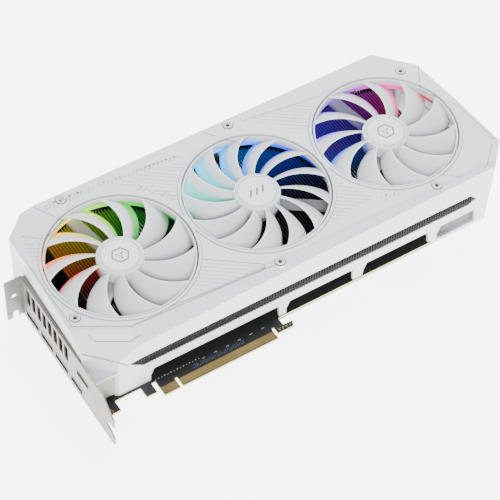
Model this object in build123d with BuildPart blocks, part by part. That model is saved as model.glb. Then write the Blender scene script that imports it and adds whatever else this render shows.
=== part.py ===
from build123d import *
import os
from math import atan2, cos, degrees, hypot, radians, sin

os.makedirs("parts", exist_ok=True)

# A triple-fan graphics card lying on its backplate, fans up. Millimetres.
# X runs from the I/O bracket to the far end, -Y is the edge-connector side, +Z is up.
# The origin is the middle of the backplate's outer face.

# ---- overall body ----
body_length = 322.0
body_width = 126.0
card_height = 57.8  # backplate face to the top of the fan bezels
bezel_rise = 0.5
shroud_wall = 2.0
deck_t = 2.2
frame_wall = 2.0
frame_inset = 0.4  # the metal frame sits this far inside the shroud's outline

# ---- board and backplate ----
backplate_t = 1.5
backplate_gap = 1.83  # air between backplate and board
board_t = 1.57
board_length = 259.3
board_back_inset = 10.0  # board's back edge from the body's back face
front_overhang = 0.2  # board's front edge stands past the body's front face

# ---- fans ----
fan_pitch = 102.36
fan_row_x = -2.94
fan_row_y = -1.4
opening_r = 49.7
duct_t = 1.2
ring_gap = 1.0  # between a fan's ring and its opening
fan_ring_r = opening_r - ring_gap
fan_ring_t = 1.2
fan_ring_h = 5.0
hub_r = 15.7
cap_rim = 1.5  # hub wall left round its cap
cap_r = hub_r - cap_rim
cap_t = 1.2
side_blades = 11
middle_blades = 13
shaft_r = 1.5
bearing_r = 3.5
running_gap = 0.04

# ---- cooler ----
fin_pitch = 2.0
fin_t = 0.4
fin_base_t = 1.2
pipe_r = 3.0
pipe_count = 6
pipe_pitch = 9.0
plate_t = 3.0
plate_size = (100.0, 92.0)
die_size = (26.0, 24.0)
die_t = 0.8
package_size = 45.0
package_t = 1.4
memory_size = (12.0, 14.0)
memory_t = 1.2

# ---- edge connector and bracket (standard sizes) ----
finger_drop = 14.0  # body's front face to the contact tips
short_fingers = 11.65
long_fingers = 71.65
key_gap = 1.9
key_to_bracket = 57.15
contact_pitch = 1.0
contact_w = 0.7
contact_t = 0.05
bracket_t = 0.86
bracket_width = 38.74
bracket_tip_to_lip = 120.02
lip_depth = 11.43
slot_pitch = 20.32
lip_screw_r = 2.2
port_pitch = 19.4

# ---- places worked out from the sizes above ----
x_near, x_far = -body_length / 2, body_length / 2
y_front, y_back = -body_width / 2, body_width / 2
deck_z = card_height - bezel_rise
board_low = backplate_t + backplate_gap
board_top = board_low + board_t
board_left = x_near + 0.7
board_right = board_left + board_length
board_front = y_front - front_overhang
board_back = y_back - board_back_inset
tip_y = y_front - finger_drop

fan_points = [(fan_row_x + i * fan_pitch, fan_row_y) for i in (-1, 0, 1)]

seam_z = 28.4  # where shroud and frame meet along the far end and the back
corner_seam_z = 47.2  # the seam climbs to this height at the bracket end

# Plan outline of the body, from the front left corner round to the left side.
body_outline = [
    (x_near + 18.4, y_front),
    (x_far - 15.5, y_front),
    (x_far, y_front + 16.2),
    (x_far - 3.0, fan_row_y),
    (x_far - 7.0, y_back - 24.0),
    (x_far - 29.0, y_back),
    (x_near + 28.0, y_back),
    (x_near + 17.5, y_back - 1.8),
    (x_near + 10.5, y_back - 8.8),
    (x_near + 2.2, y_back - 15.6),
    (x_near, y_front + 14.4),
]

# The top's front edge falls away in two flat facets: one across the bracket corner, one along the front.
facet_a = Vector(x_near + 1.0, y_front + 27.5, deck_z)
facet_b = Vector(x_near + 32.1, y_front + 9.7, deck_z)
facet_c = Vector(x_near + 18.4, y_front, deck_z - 15.6)
front_c = Vector(x_near + 70.0, y_front, deck_z - 7.0)
front_d = Vector(x_far - 20.0, y_front, deck_z - 2.4)


def facet_plane(a, b, c):
    normal = (b - a).cross(c - a).normalized()
    if normal.Z < 0:
        normal = normal * -1
    return Plane(origin=a, x_dir=b - a, z_dir=normal)


facets = [facet_plane(facet_a, facet_b, facet_c), facet_plane(facet_b, front_d, front_c)]


def body_block(inset, z_low, z_high):
    """The body's plan outline pulled in by inset, with both facets, as a solid."""
    with BuildPart() as block:
        with BuildSketch(Plane.XY.offset(z_low)) as plan:
            with BuildLine():
                Polyline(*body_outline, close=True)
            make_face()
            if inset > 0:
                offset(amount=-inset, kind=Kind.INTERSECTION)
        extrude(amount=z_high - z_low)
        for plane in facets:
            split(bisect_by=plane.offset(-inset), keep=Keep.BOTTOM)
    return block.part


def save(name, builder):
    builder.part.label = name
    export_step(builder.part, f"parts/{name}.step")


# Region under the seam, seen from the front: it belongs to the metal frame.
seam_line = [
    (x_near - 20.0, -5.0),
    (x_near - 20.0, corner_seam_z),
    (x_near + 1.0, corner_seam_z),
    (x_near + 18.3, corner_seam_z - 5.5),
    (x_near + 25.5, seam_z + 5.3),
    (x_near + 33.0, seam_z),
    (x_far + 20.0, seam_z),
    (x_far + 20.0, -5.0),
]
with BuildPart() as under_seam:
    with BuildSketch(Plane.XZ):
        with BuildLine():
            Polyline(*seam_line, close=True)
        make_face()
    extrude(amount=body_width, both=True)

# Exhaust slot along the front, shared by the shroud above and the frame below.
slot_top = seam_z + 6.4
slot_low = seam_z - 3.3
slot_left = x_near + 25.5
slot_right = x_far - 26.2
slot_depth = 6.0
with BuildPart() as exhaust_slot:
    with BuildSketch(Plane.XZ.offset(-(y_front + slot_depth))):
        with BuildLine():
            Polyline(
                (slot_left, seam_z + 5.3),
                (slot_left + 8.5, slot_top),
                (slot_right - 6.8, slot_top),
                (slot_right, seam_z),
                (slot_right - 7.0, slot_low),
                (slot_left + 11.1, slot_low),
                close=True,
            )
        make_face()
    extrude(amount=slot_depth + 2.0)

# Screw posts: place, lowest height of the post, direction of the rib that ties it to the wall.
post_r = 2.6
post_top = deck_z - deck_t - 0.9
screw_r = 1.25
posts = [
    (x_near + 45.6, y_back - 5.7, 12.0, 90),
    (x_near + 172.3, y_back - 5.7, 12.0, 90),
    (x_far - 20.7, y_back - 23.9, 12.0, 42),
    (x_near + 7.5, y_front + 33.3, deck_z - 16.3, 180),
    (x_near + 139.5, y_front + 5.3, 18.0, 270),
    (x_far - 60.1, y_front + 5.3, 18.0, 270),
]
post_points = [(x, y) for x, y, low, turn in posts]

# ---- light bar opening in the back wall ----
bar_length = 112.0
bar_x = x_near + 109.0
bar_z = deck_z - 11.5
bar_h = 7.0

# ---- shroud ----
collar_r = 3.3
with BuildPart() as shroud:
    add(body_block(0, 15.0, deck_z))
    chamfer(shroud.faces().sort_by(Axis.Z)[-1].edges(), length=1.0)
    with BuildSketch(Plane.XY.offset(deck_z - 0.2)):
        with Locations(*fan_points):
            Circle(opening_r + duct_t + 0.6)
    extrude(amount=bezel_rise + 0.2)
    for plane in facets:
        split(bisect_by=plane, keep=Keep.BOTTOM)
    add(body_block(shroud_wall, 10.0, deck_z - deck_t), mode=Mode.SUBTRACT)
    with BuildSketch(Plane.XY.offset(deck_z - 10.3)):
        with Locations(*fan_points):
            Circle(opening_r + duct_t)
    extrude(amount=10.3 - deck_t / 2)
    with BuildSketch(Plane.XY.offset(post_top)):
        with Locations(*post_points):
            Circle(collar_r + 0.4)
    extrude(amount=deck_t)
    with BuildSketch(Plane.XY.offset(deck_z - 0.4)):
        with Locations(*post_points):
            Circle(collar_r)
    extrude(amount=0.4 + 0.4)
    with BuildSketch(Plane.XY.offset(deck_z - 12)):
        with Locations(*fan_points):
            Circle(opening_r)
    extrude(amount=14, mode=Mode.SUBTRACT)
    add(under_seam.part, mode=Mode.SUBTRACT)
    add(exhaust_slot.part, mode=Mode.SUBTRACT)
    with Locations(*[(x, y, deck_z + 0.4) for x, y in post_points]):
        CounterBoreHole(radius=screw_r + 0.15, counter_bore_radius=2.35, counter_bore_depth=2.4, depth=8)
    with Locations((bar_x, y_back - shroud_wall / 2, bar_z)):
        Box(bar_length, shroud_wall + 2, bar_h, mode=Mode.SUBTRACT)
save("shroud", shroud)

# ---- side frame ----
window_top = board_top + 11.6
window_low = board_top - 1.0
window_edges = [  # left end, right end of each front window at the board
    (x_near + 41.6, x_near + 138.4),
    (x_near + 143.7, x_near + 196.6),
    (x_near + 204.4, x_near + 258.0),
    (x_near + 264.9, x_near + 297.0),
]
lip_y = tip_y + 106.06
bracket_x = x_near - 0.29 - bracket_t  # outer face of the bracket
key_x = bracket_x + key_to_bracket
power_x = [x_near + 207.0 + 20.5 * i for i in range(3)]
power_w = 18.8
power_z = board_top + 5.4
switch_x = x_near + 150.0
ledge_z = seam_z + 0.6
# Everything above the seam belongs to the shroud, except the posts.
with BuildPart() as above_seam:
    with Locations((0, 0, seam_z)):
        Box(body_length + 60, body_width + 60, 90)
    add(under_seam.part, mode=Mode.SUBTRACT)
    with Locations(*[(x, y, 50) for x, y in post_points]):
        Cylinder(post_r + 0.001, 100, mode=Mode.SUBTRACT)
with BuildPart() as side_frame:
    add(body_block(frame_inset, backplate_t, corner_seam_z + 2))
    add(body_block(frame_inset + frame_wall, 0, corner_seam_z + 4), mode=Mode.SUBTRACT)
    for x, y, low, turn in posts:
        with BuildSketch(Plane.XY.offset(low)):
            with Locations((x, y)):
                Circle(post_r)
        extrude(amount=post_top - low)
    # ribs from the posts to the wall
    for x, y, low, turn in posts:
        reach = 10.5 if turn == 42 else 7.0 if turn == 180 else 4.0
        top = corner_seam_z if turn == 180 else seam_z
        if turn == 270:
            top = slot_low - 0.6
        with BuildSketch(Plane.XY.offset(low)):
            with Locations(Location((x, y, 0), (0, 0, turn))):
                Rectangle(reach, 2.4, align=(Align.MIN, Align.CENTER))
        extrude(amount=top - low)
    add(body_block(frame_inset, -5, 80), mode=Mode.INTERSECT)
    with Locations(*[(x, y, post_top) for x, y in post_points]):
        Hole(radius=screw_r, depth=10)
    add(above_seam.part, mode=Mode.SUBTRACT)
    add(exhaust_slot.part, mode=Mode.SUBTRACT)
    # room for the board
    with BuildSketch(Plane.XY):
        with Locations(((board_left + board_right) / 2, (board_front + board_back) / 2)):
            Rectangle(board_length + 0.6, board_back - board_front + 0.6)
    extrude(amount=board_top, mode=Mode.SUBTRACT)
    # front windows, each with one sloping end
    with BuildSketch(Plane.XZ.offset(-(y_front + slot_depth))):
        for left, right in window_edges:
            with BuildLine():
                Polyline(
                    (left, window_low),
                    (left, window_low + 6.5),
                    (left + 2.4, window_top),
                    (right - 1.0, window_top),
                    (right, window_low),
                    close=True,
                )
            make_face()
    extrude(amount=slot_depth + 2.0, mode=Mode.SUBTRACT)
    # open at the bracket end for the ports and the vent, and at the corner beside them
    with Locations((x_near, (lip_y + y_front + 15) / 2, 0)):
        Box(12, lip_y - y_front - 15, 80, mode=Mode.SUBTRACT)
    with Locations((x_near, y_front, 0)):
        Box(2 * 16.1, 2 * 18.0, 2 * 29.0, mode=Mode.SUBTRACT)
    # ledge that closes the corner over the bracket's flange
    with BuildSketch(Plane.XY.offset(ledge_z)):
        with BuildLine():
            Polyline(
                (x_near, y_front + 14.4),
                (x_near, y_front + frame_inset),
                (x_near + 18.4, y_front + frame_inset),
                (x_near + 19.4, y_front + 2.4),
                (x_near + 2.4, y_front + 15.4),
                close=True,
            )
        make_face()
    extrude(amount=1.2)
    # power sockets and BIOS switch look out of the back wall
    with Locations((power_x[1], y_back, power_z - 2)):
        Box(power_x[2] - power_x[0] + power_w + 1.0, 12, 14.8, mode=Mode.SUBTRACT)
    with Locations((switch_x, y_back, board_top + 1.9)):
        Box(8.0, 12, 3.0, mode=Mode.SUBTRACT)
    add(shroud.part, mode=Mode.SUBTRACT)
save("side_frame", side_frame)

# ---- backplate ----
vent_left, vent_right = board_right + 4.0, x_far - 12.0
gpu_x, gpu_y = x_near + 121.0, -2.0
mount_half = 35.0
mount_points = [(gpu_x + sx * mount_half, gpu_y + sy * mount_half) for sx in (-1, 1) for sy in (-1, 1)]
with BuildPart() as backplate:
    add(body_block(frame_inset, 0, backplate_t))
    chamfer(backplate.faces().sort_by(Axis.Z)[0].edges(), length=0.4)
    with BuildSketch(Plane.XY):
        with Locations(((vent_left + vent_right) / 2, fan_row_y)):
            RectangleRounded(vent_right - vent_left, 84, 4)
        with Locations((gpu_x, gpu_y)):
            RectangleRounded(2 * mount_half - 14, 2 * mount_half - 14, 4)
    extrude(amount=backplate_t, mode=Mode.SUBTRACT)
    with Locations(*[(x, y, 0) for x, y in mount_points]):
        Hole(radius=3.6, depth=10)
    with Locations((x_near, y_front, 0)):
        Box(2 * 1.6, 2 * 60.0, 10, mode=Mode.SUBTRACT)

# Feet that hold the board off the backplate; a screw goes up through each.
tab_screw = (x_near + 5.6, lip_y - 2.66)  # holds the bracket's foot down on the board
foot_r = 3.0
foot_hole_r = 1.4
head_r = 2.4
head_t = 0.8
foot_points = [(x_near + 24.0, y_front + 7.0), (x_near + 141.0, y_front + 7.0), (board_right - 8.0, y_front + 13.0)]
foot_points += [(x_near + 60.0, y_back - 17.0), (x_near + 142.0, y_back - 17.0), (board_right - 8.0, y_back - 27.0)]
with BuildPart() as backplate_done:
    add(backplate.part)
    with BuildSketch(Plane.XY.offset(backplate_t)):
        with Locations(*foot_points, tab_screw):
            Circle(foot_r)
    extrude(amount=backplate_gap)
    with BuildSketch(Plane.XY.offset(backplate_t)):
        with Locations(tab_screw):
            Circle(screw_r)
    extrude(amount=backplate_gap, mode=Mode.SUBTRACT)
    with BuildSketch(Plane.XY):
        with Locations(*foot_points):
            Circle(foot_hole_r)
    extrude(amount=backplate_t + backplate_gap, mode=Mode.SUBTRACT)
    with BuildSketch(Plane.XY):
        with Locations(*foot_points):
            Circle(head_r)
    extrude(amount=head_t, mode=Mode.SUBTRACT)
backplate = backplate_done
save("backplate", backplate)

# ---- board ----
finger_right = key_x + key_gap / 2 + long_fingers
finger_left = key_x - key_gap / 2 - short_fingers
tab_y = tip_y + 4.7
recess_y = board_front - 1.3
notch_y = board_front - 1.6
tip_bevel = 0.8
board_outline = [
    (board_left, board_back),
    (board_left, tab_y),
    (board_left + 13.4, tab_y),
    (board_left + 13.4, recess_y),
    (board_left + 32.1, recess_y),
    (board_left + 32.1, tab_y),
    (finger_left - 3.0, tab_y),
    (finger_left - 3.0, notch_y),
    (finger_left, notch_y),
    (finger_left, tip_y),
    (key_x - key_gap / 2, tip_y),
    (key_x - key_gap / 2, tip_y + 8.0),
    (key_x + key_gap / 2, tip_y + 8.0),
    (key_x + key_gap / 2, tip_y),
    (finger_right, tip_y),
    (finger_right, tip_y + 8.6),
    (finger_right + 1.9, tip_y + 8.6),
    (finger_right + 1.9, tip_y + 3.5),
    (finger_right + 13.8, tip_y + 3.5),
    (finger_right + 15.4, tip_y + 7.4),
    (finger_right + 8.4, tip_y + 7.7),
    (finger_right + 8.4, board_front - 0.6),
    (finger_right + 9.0, board_front),
    (board_right, board_front),
    (board_right, board_back),
]
with BuildPart() as pcb:
    with BuildSketch(Plane.XY.offset(board_low)):
        with BuildLine():
            Polyline(*board_outline, close=True)
        make_face()
        with Locations(*mount_points):
            Circle(1.6, mode=Mode.SUBTRACT)
        with Locations(*foot_points, tab_screw):
            Circle(foot_hole_r, mode=Mode.SUBTRACT)
    extrude(amount=board_t)
    chamfer(pcb.faces().filter_by(Axis.Y).group_by(Axis.Y)[0].edges().filter_by(Axis.X), length=tip_bevel / 2)
save("pcb", pcb)

# ---- edge contacts: 11 and 71 on each face of the board ----
contact_len = 5.4
contact_back = tip_y + 1.0
short_row = [key_x - key_gap / 2 - 0.35 - contact_w / 2 - i * contact_pitch for i in range(11)]
long_row = [key_x + key_gap / 2 + 0.35 + contact_w / 2 + i * contact_pitch for i in range(71)]
with BuildPart() as edge_contacts:
    for low in (board_top, board_low - contact_t):
        with BuildSketch(Plane.XY.offset(low)):
            with Locations(*[(x, contact_back) for x in short_row + long_row]):
                Rectangle(contact_w, contact_len, align=(Align.CENTER, Align.MIN))
        extrude(amount=contact_t)
save("edge_contacts", edge_contacts)

# ---- I/O bracket ----
bracket_low = board_top - 4.1
bracket_high = bracket_low + bracket_width
bracket_tip = lip_y - bracket_tip_to_lip
port_y = [lip_y - 14.4 - port_pitch * i for i in range(4)]
port_z = board_top + 2.95
upper_port = (y_front + 11.0, board_top + 20.0)
vent_y = [lip_y - 10.7 - 7.08 * i for i in range(8)]
vent_z = board_top + 23.4
vent_size = (5.0, 15.0)
displayport_size = (17.6, 5.9)
hdmi_size = (15.4, 5.9)
port_clearance = 0.15
bracket_outline = [  # Y, Z
    (lip_y, bracket_low),
    (bracket_tip + 1.6, bracket_low),
    (bracket_tip, bracket_low + 1.2),
    (bracket_tip, bracket_low + 7.8),
    (bracket_tip + 2.6, bracket_low + 10.2),
    (bracket_tip + 9.8, bracket_low + 13.2),
    (bracket_tip + 7.0, bracket_low + 18.0),
    (bracket_tip, bracket_low + slot_pitch),
    (bracket_tip, bracket_low + slot_pitch + 7.0),
    (bracket_tip + 3.0, bracket_low + slot_pitch + 9.0),
    (bracket_tip + 12.4, bracket_high),
    (lip_y, bracket_high),
]
lip_hole = (bracket_x - 5.2, bracket_low + 22.1)
lip_notch = (bracket_x - 5.2, bracket_low + 22.1 - slot_pitch + 2.4)
flange_reach = 16.0
top_fold = 4.6
fold_front = y_front + 15.6
with BuildPart() as io_bracket:
    with BuildSketch(Plane.YZ.offset(bracket_x)):
        with BuildLine():
            Polyline(*bracket_outline, close=True)
        make_face()
        for i, y in enumerate(port_y):
            w, h = hdmi_size if i == 3 else displayport_size
            with Locations((y, port_z)):
                Rectangle(w + 2 * port_clearance, h + 2 * port_clearance, mode=Mode.SUBTRACT)
        with Locations(upper_port):
            Rectangle(hdmi_size[0] + 2 * port_clearance, hdmi_size[1] + 2 * port_clearance, mode=Mode.SUBTRACT)
        with Locations(*[(y, vent_z) for y in vent_y]):
            RectangleRounded(*vent_size, 0.8, mode=Mode.SUBTRACT)
    extrude(amount=bracket_t)
    with BuildSketch(Plane.XZ.offset(-lip_y)):
        with Locations((bracket_x - lip_depth, bracket_low)):
            Rectangle(lip_depth + bracket_t, bracket_width, align=(Align.MIN, Align.MIN))
        with Locations(lip_hole):
            Circle(lip_screw_r, mode=Mode.SUBTRACT)
        with Locations((lip_hole[0] - 4.6, lip_hole[1] + 2.2)):
            Rectangle(3.6, 1.2, mode=Mode.SUBTRACT)
        with Locations((lip_notch[0], lip_notch[1])):
            Circle(lip_screw_r, mode=Mode.SUBTRACT)
        with Locations((lip_notch[0], lip_notch[1])):
            Rectangle(2 * lip_screw_r, 8, align=(Align.CENTER, Align.MAX), mode=Mode.SUBTRACT)
        with Locations((lip_notch[0] - 4.6, lip_notch[1] + 2.2)):
            Rectangle(3.6, 1.2, mode=Mode.SUBTRACT)
    extrude(amount=bracket_t)
    # top edge folded back towards the body
    with BuildSketch(Plane.XY.offset(bracket_high - bracket_t)):
        with Locations((bracket_x, fold_front)):
            Rectangle(top_fold, lip_y - 1.0 - fold_front, align=Align.MIN)
    extrude(amount=bracket_t)
    # foot folded back onto the board, held by one screw
    with BuildSketch(Plane.XY.offset(board_top)):
        with Locations((bracket_x, tab_screw[1])):
            Rectangle(11.0, 4.6, align=(Align.MIN, Align.CENTER))
        with Locations(tab_screw):
            Circle(foot_hole_r, mode=Mode.SUBTRACT)
    extrude(amount=bracket_t)
    # flange folded back along the front corner, in line with the frame's front wall
    with BuildSketch(Plane.XZ.offset(-(y_front + frame_inset + bracket_t))):
        with Locations((bracket_x, board_top + 5.0)):
            Rectangle(flange_reach + bracket_t, 18.8, align=(Align.MIN, Align.MIN))
    extrude(amount=bracket_t)
save("io_bracket", io_bracket)


# ---- display sockets: a metal shell with a contact tongue inside ----
def socket(size, y, z, depth):
    """Open shell facing -X with a tongue on its back wall."""
    w, h = size
    with BuildPart() as shell:
        with Locations((bracket_x - 0.2, y, z)):
            Box(depth, w, h, align=(Align.MIN, Align.CENTER, Align.CENTER))
            Box(depth - 2, w - 0.8, h - 0.8, align=(Align.MIN, Align.CENTER, Align.CENTER), mode=Mode.SUBTRACT)
        with Locations((bracket_x + 1.6, y, z - 0.4)):
            Box(depth - 3, w - 4.6, 0.9, align=(Align.MIN, Align.CENTER, Align.CENTER))
    return shell


for i, y in enumerate(port_y[:3]):
    save(f"displayport_{i + 1}", socket(displayport_size, y, port_z, 15.0))
save("hdmi_port_lower", socket(hdmi_size, port_y[3], port_z, 13.0))

hdmi_upper = socket(hdmi_size, upper_port[0], upper_port[1], 13.0)
carrier_low = port_z + hdmi_size[1] / 2 + 0.1
with BuildPart() as hdmi_port_upper:
    add(hdmi_upper.part)
    # plastic riser that carries the upper socket on the board, beside the lower one
    carrier_y = upper_port[0] - hdmi_size[0] / 2
    lower_port_front = port_y[3] - hdmi_size[0] / 2
    riser_w = lower_port_front - 0.4 - carrier_y
    with Locations((bracket_x + 3.0, carrier_y, board_top)):
        Box(9.6, riser_w, upper_port[1] - board_top - hdmi_size[1] / 2, align=(Align.MIN, Align.MIN, Align.MIN))
save("hdmi_port_upper", hdmi_port_upper)

# ---- fans ----
blade_low = deck_z - 9.1
blade_high = deck_z - 0.9
hub_top = deck_z - 0.4
hub_low = deck_z - 9.6
hub_wall = 1.4
cup_top = hub_top - 1.8
duct_low = deck_z - 10.3
arm_t = 2.6
arm_low = duct_low - arm_t
blade_chord_t = 1.3


def sweep_angle(r):
    """How far a blade's high edge has turned at radius r, in degrees."""
    return 0.0098 * (r - hub_r) ** 2 + 0.42 * (r - hub_r)


def blade_section(r, high_turn, chord_angle):
    """Corner points of the blade at radius r: high edge, low edge, and the chord between them."""
    high = radians(high_turn)
    low = radians(high_turn - chord_angle)
    return Vector(r * cos(high), r * sin(high), blade_high), Vector(r * cos(low), r * sin(low), blade_low)


def fan_blade(hand, chord_angle):
    """One blade about the origin, lofted from the hub out through the ring."""
    with BuildPart() as blade:
        for r in (hub_r - 1.0, 22.0, 29.0, 36.0, 43.0, fan_ring_r + 1.6):
            high, low = blade_section(r, hand * sweep_angle(r), hand * chord_angle)
            middle = (high + low) / 2
            chord = Vector(high.X - low.X, high.Y - low.Y, 0)
            half = chord.length / 2
            plane = Plane(origin=middle, x_dir=chord, z_dir=chord.cross(Vector(0, 0, 1)))
            rise = (high.Z - low.Z) / 2
            if plane.y_dir.Z < 0:
                rise = -rise
            bow = 0.9 if plane.y_dir.Z > 0 else -0.9
            lift = blade_chord_t / 2
            with BuildSketch(plane):
                with BuildLine():
                    ThreePointArc((-half, -rise - lift), (0, bow - lift), (half, rise - lift))
                    Line((half, rise - lift), (half, rise + lift))
                    ThreePointArc((half, rise + lift), (0, bow + lift), (-half, -rise + lift))
                    Line((-half, -rise + lift), (-half, -rise - lift))
                make_face()
        loft()
        with Locations((0, 0, (blade_low + blade_high) / 2)):
            Cylinder(fan_ring_r - 0.4, 30, mode=Mode.INTERSECT)
            Cylinder(hub_r - hub_wall / 2, 30, mode=Mode.SUBTRACT)
    return blade.part


def fan_rotor(centre, count, hand, chord_angle, phase):
    x, y = centre
    blade = fan_blade(hand, chord_angle)
    with BuildPart() as rotor:
        with BuildSketch(Plane.XY.offset(hub_low)):
            with Locations((x, y)):
                Circle(hub_r)
        extrude(amount=hub_top - hub_low)
        fillet(rotor.faces().sort_by(Axis.Z)[-1].edges(), radius=0.6)
        with BuildSketch(Plane.XY.offset(hub_low)):
            with Locations((x, y)):
                Circle(hub_r - hub_wall)
        extrude(amount=cup_top - hub_low, mode=Mode.SUBTRACT)
        with BuildSketch(Plane.XY.offset(cup_top - 3.0)):
            with Locations((x, y)):
                Circle(shaft_r + 1.3)
        extrude(amount=3.2)
        with BuildSketch(Plane.XY.offset(cup_top - 3.0)):
            with Locations((x, y)):
                Circle(shaft_r)
        extrude(amount=3.0, mode=Mode.SUBTRACT)
        with BuildSketch(Plane.XY.offset(hub_top - 0.8)):
            with Locations((x, y)):
                Circle(cap_r)
        extrude(amount=2, mode=Mode.SUBTRACT)
        with BuildSketch(Plane.XY.offset(blade_high - fan_ring_h + 0.6)):
            with Locations((x, y)):
                Circle(fan_ring_r)
                Circle(fan_ring_r - fan_ring_t, mode=Mode.SUBTRACT)
        extrude(amount=fan_ring_h)
        for i in range(count):
            add(blade.rotate(Axis.Z, phase + i * 360 / count).moved(Location((x, y, 0))))
    return rotor


arm_angles = {"left": (100, 220, 340), "middle": (85, 205, 325), "right": (100, 220, 340)}
fan_names = ["left", "middle", "right"]
fan_styles = [(side_blades, 1, 24.0, 20.0), (middle_blades, -1, 20.5, 63.0), (side_blades, 1, 24.0, 20.0)]
magnet_r = hub_r - hub_wall
magnet_t = 1.2
stator_r = magnet_r - magnet_t - 0.5
pole_count = 8
stator_low = arm_low + arm_t + 1.6
stator_h = 4.0
bearing_seat = arm_low + 0.8

for name, centre, style in zip(fan_names, fan_points, fan_styles):
    x, y = centre
    save(f"rotor_{name}", fan_rotor(centre, *style))

    with BuildPart() as hub_cap:
        with BuildSketch(Plane.XY.offset(hub_top - 0.8)):
            with Locations((x, y)):
                Circle(cap_r - 0.1)
        extrude(amount=cap_t)
        fillet(hub_cap.faces().sort_by(Axis.Z)[-1].edges(), radius=0.35)
    save(f"hub_cap_{name}", hub_cap)

    with BuildPart() as magnet_ring:
        with BuildSketch(Plane.XY.offset(hub_low + 0.8)):
            with Locations((x, y)):
                Circle(magnet_r)
                Circle(magnet_r - magnet_t, mode=Mode.SUBTRACT)
        extrude(amount=cup_top - hub_low - 1.2)
    save(f"magnet_ring_{name}", magnet_ring)

    with BuildPart() as shaft:
        with BuildSketch(Plane.XY.offset(bearing_seat + 0.6)):
            with Locations((x, y)):
                Circle(shaft_r)
        extrude(amount=cup_top - bearing_seat - 0.6)
    save(f"shaft_{name}", shaft)

    with BuildPart() as bearing:
        with BuildSketch(Plane.XY.offset(bearing_seat)):
            with Locations((x, y)):
                Circle(bearing_r)
                Circle(shaft_r + running_gap, mode=Mode.SUBTRACT)
        extrude(amount=cup_top - 3.6 - bearing_seat)
    save(f"bearing_{name}", bearing)

    with BuildPart() as motor_base:
        with BuildSketch(Plane.XY.offset(arm_low)):
            with Locations((x, y)):
                Circle(hub_r - 0.2)
            for angle in arm_angles[name]:
                with Locations(Location((x, y, 0), (0, 0, angle))):
                    Rectangle(opening_r + duct_t - 0.2, 8.0, align=(Align.MIN, Align.CENTER))
        extrude(amount=arm_t)
        with BuildSketch(Plane.XY.offset(bearing_seat)):
            with Locations((x, y)):
                Circle(bearing_r)
        extrude(amount=arm_t, mode=Mode.SUBTRACT)
        # channel in the first arm for the fan's lead
        with BuildSketch(Plane.XY.offset(arm_low)):
            with Locations(Location((x, y, 0), (0, 0, arm_angles[name][0]))):
                with Locations((bearing_r + 3.0, 0)):
                    Rectangle(opening_r, 2.4, align=(Align.MIN, Align.CENTER))
        extrude(amount=1.6, mode=Mode.SUBTRACT)
    save(f"motor_base_{name}", motor_base)

    with BuildPart() as stator:
        with BuildSketch(Plane.XY.offset(stator_low)):
            with Locations((x, y)):
                Circle(bearing_r + 1.8)
            for i in range(pole_count):
                with Locations(Location((x, y, 0), (0, 0, i * 360 / pole_count))):
                    Rectangle(stator_r - 0.8, 2.2, align=(Align.MIN, Align.CENTER))
                    with Locations((stator_r - 1.6, 0)):
                        Rectangle(1.2, 6.6, align=(Align.MIN, Align.CENTER))
            with Locations((x, y)):
                Circle(bearing_r, mode=Mode.SUBTRACT)
        extrude(amount=stator_h)
    save(f"stator_{name}", stator)

with BuildPart() as fan_windings:
    for x, y in fan_points:
        for i in range(pole_count):
            spot = Location((x, y, stator_low + stator_h / 2), (0, 0, i * 360 / pole_count))
            with Locations(spot):
                with Locations((bearing_r + 2.9, 0, 0)):
                    Box(3.4, 4.6, stator_h + 1.6, align=(Align.MIN, Align.CENTER, Align.CENTER))
        with BuildSketch(Plane.XY.offset(stator_low)):
            for i in range(pole_count):
                with Locations(Location((x, y, 0), (0, 0, i * 360 / pole_count))):
                    Rectangle(stator_r, 2.2, align=(Align.MIN, Align.CENTER))
        extrude(amount=stator_h, mode=Mode.SUBTRACT)
save("fan_windings", fan_windings)

# ---- cooler ----
plate_low = board_top + package_t + die_t
pipe_z = plate_low + plate_t + pipe_r
fin_low = pipe_z + pipe_r
fin_high = arm_low - 1.4
fin_front = y_front + frame_inset + frame_wall + 0.3
fin_back = y_back - 13.5
fin_left = x_near + 25.0
fin_split = fan_points[1][0]
fin_right = x_far - 33.0
pipe_y = [gpu_y - 2.0 + pipe_pitch * (i - (pipe_count - 1) / 2) for i in range(pipe_count)]
pipe_left = x_near + 11.0
pipe_bend = 9.0


def fin_comb(left, right):
    """A base plate with upright fins across X, as one solid."""
    count = int((right - left - fin_t) / fin_pitch) + 1
    points = [(left, fin_low)]
    for i in range(count):
        x = left + i * fin_pitch
        points += [(x, fin_low + fin_base_t), (x, fin_high), (x + fin_t, fin_high), (x + fin_t, fin_low + fin_base_t)]
    points += [(points[-1][0], fin_low)]
    points.pop(1)
    with BuildPart() as comb:
        with BuildSketch(Plane.XZ.offset(-fin_back)):
            with BuildLine():
                Polyline(*points, close=True)
            make_face()
        extrude(amount=fin_back - fin_front)
        with Locations(*[(x, y, 40) for x, y in post_points]):
            Box(2 * post_r + 1.4, 2 * post_r + 1.4, 90, mode=Mode.SUBTRACT)
    return comb


save("fin_stack_front", fin_comb(fin_left, fin_split - 2.0))
save("fin_stack_rear", fin_comb(fin_split + 2.0, fin_right))

with BuildPart() as cold_plate:
    with Locations((gpu_x, gpu_y - 2.0, plate_low)):
        Box(plate_size[0], plate_size[1], plate_t, align=(Align.CENTER, Align.CENTER, Align.MIN))
    with Locations(*[(x, y, plate_low) for x, y in mount_points]):
        Hole(radius=screw_r, depth=20)
save("cold_plate", cold_plate)

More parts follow.
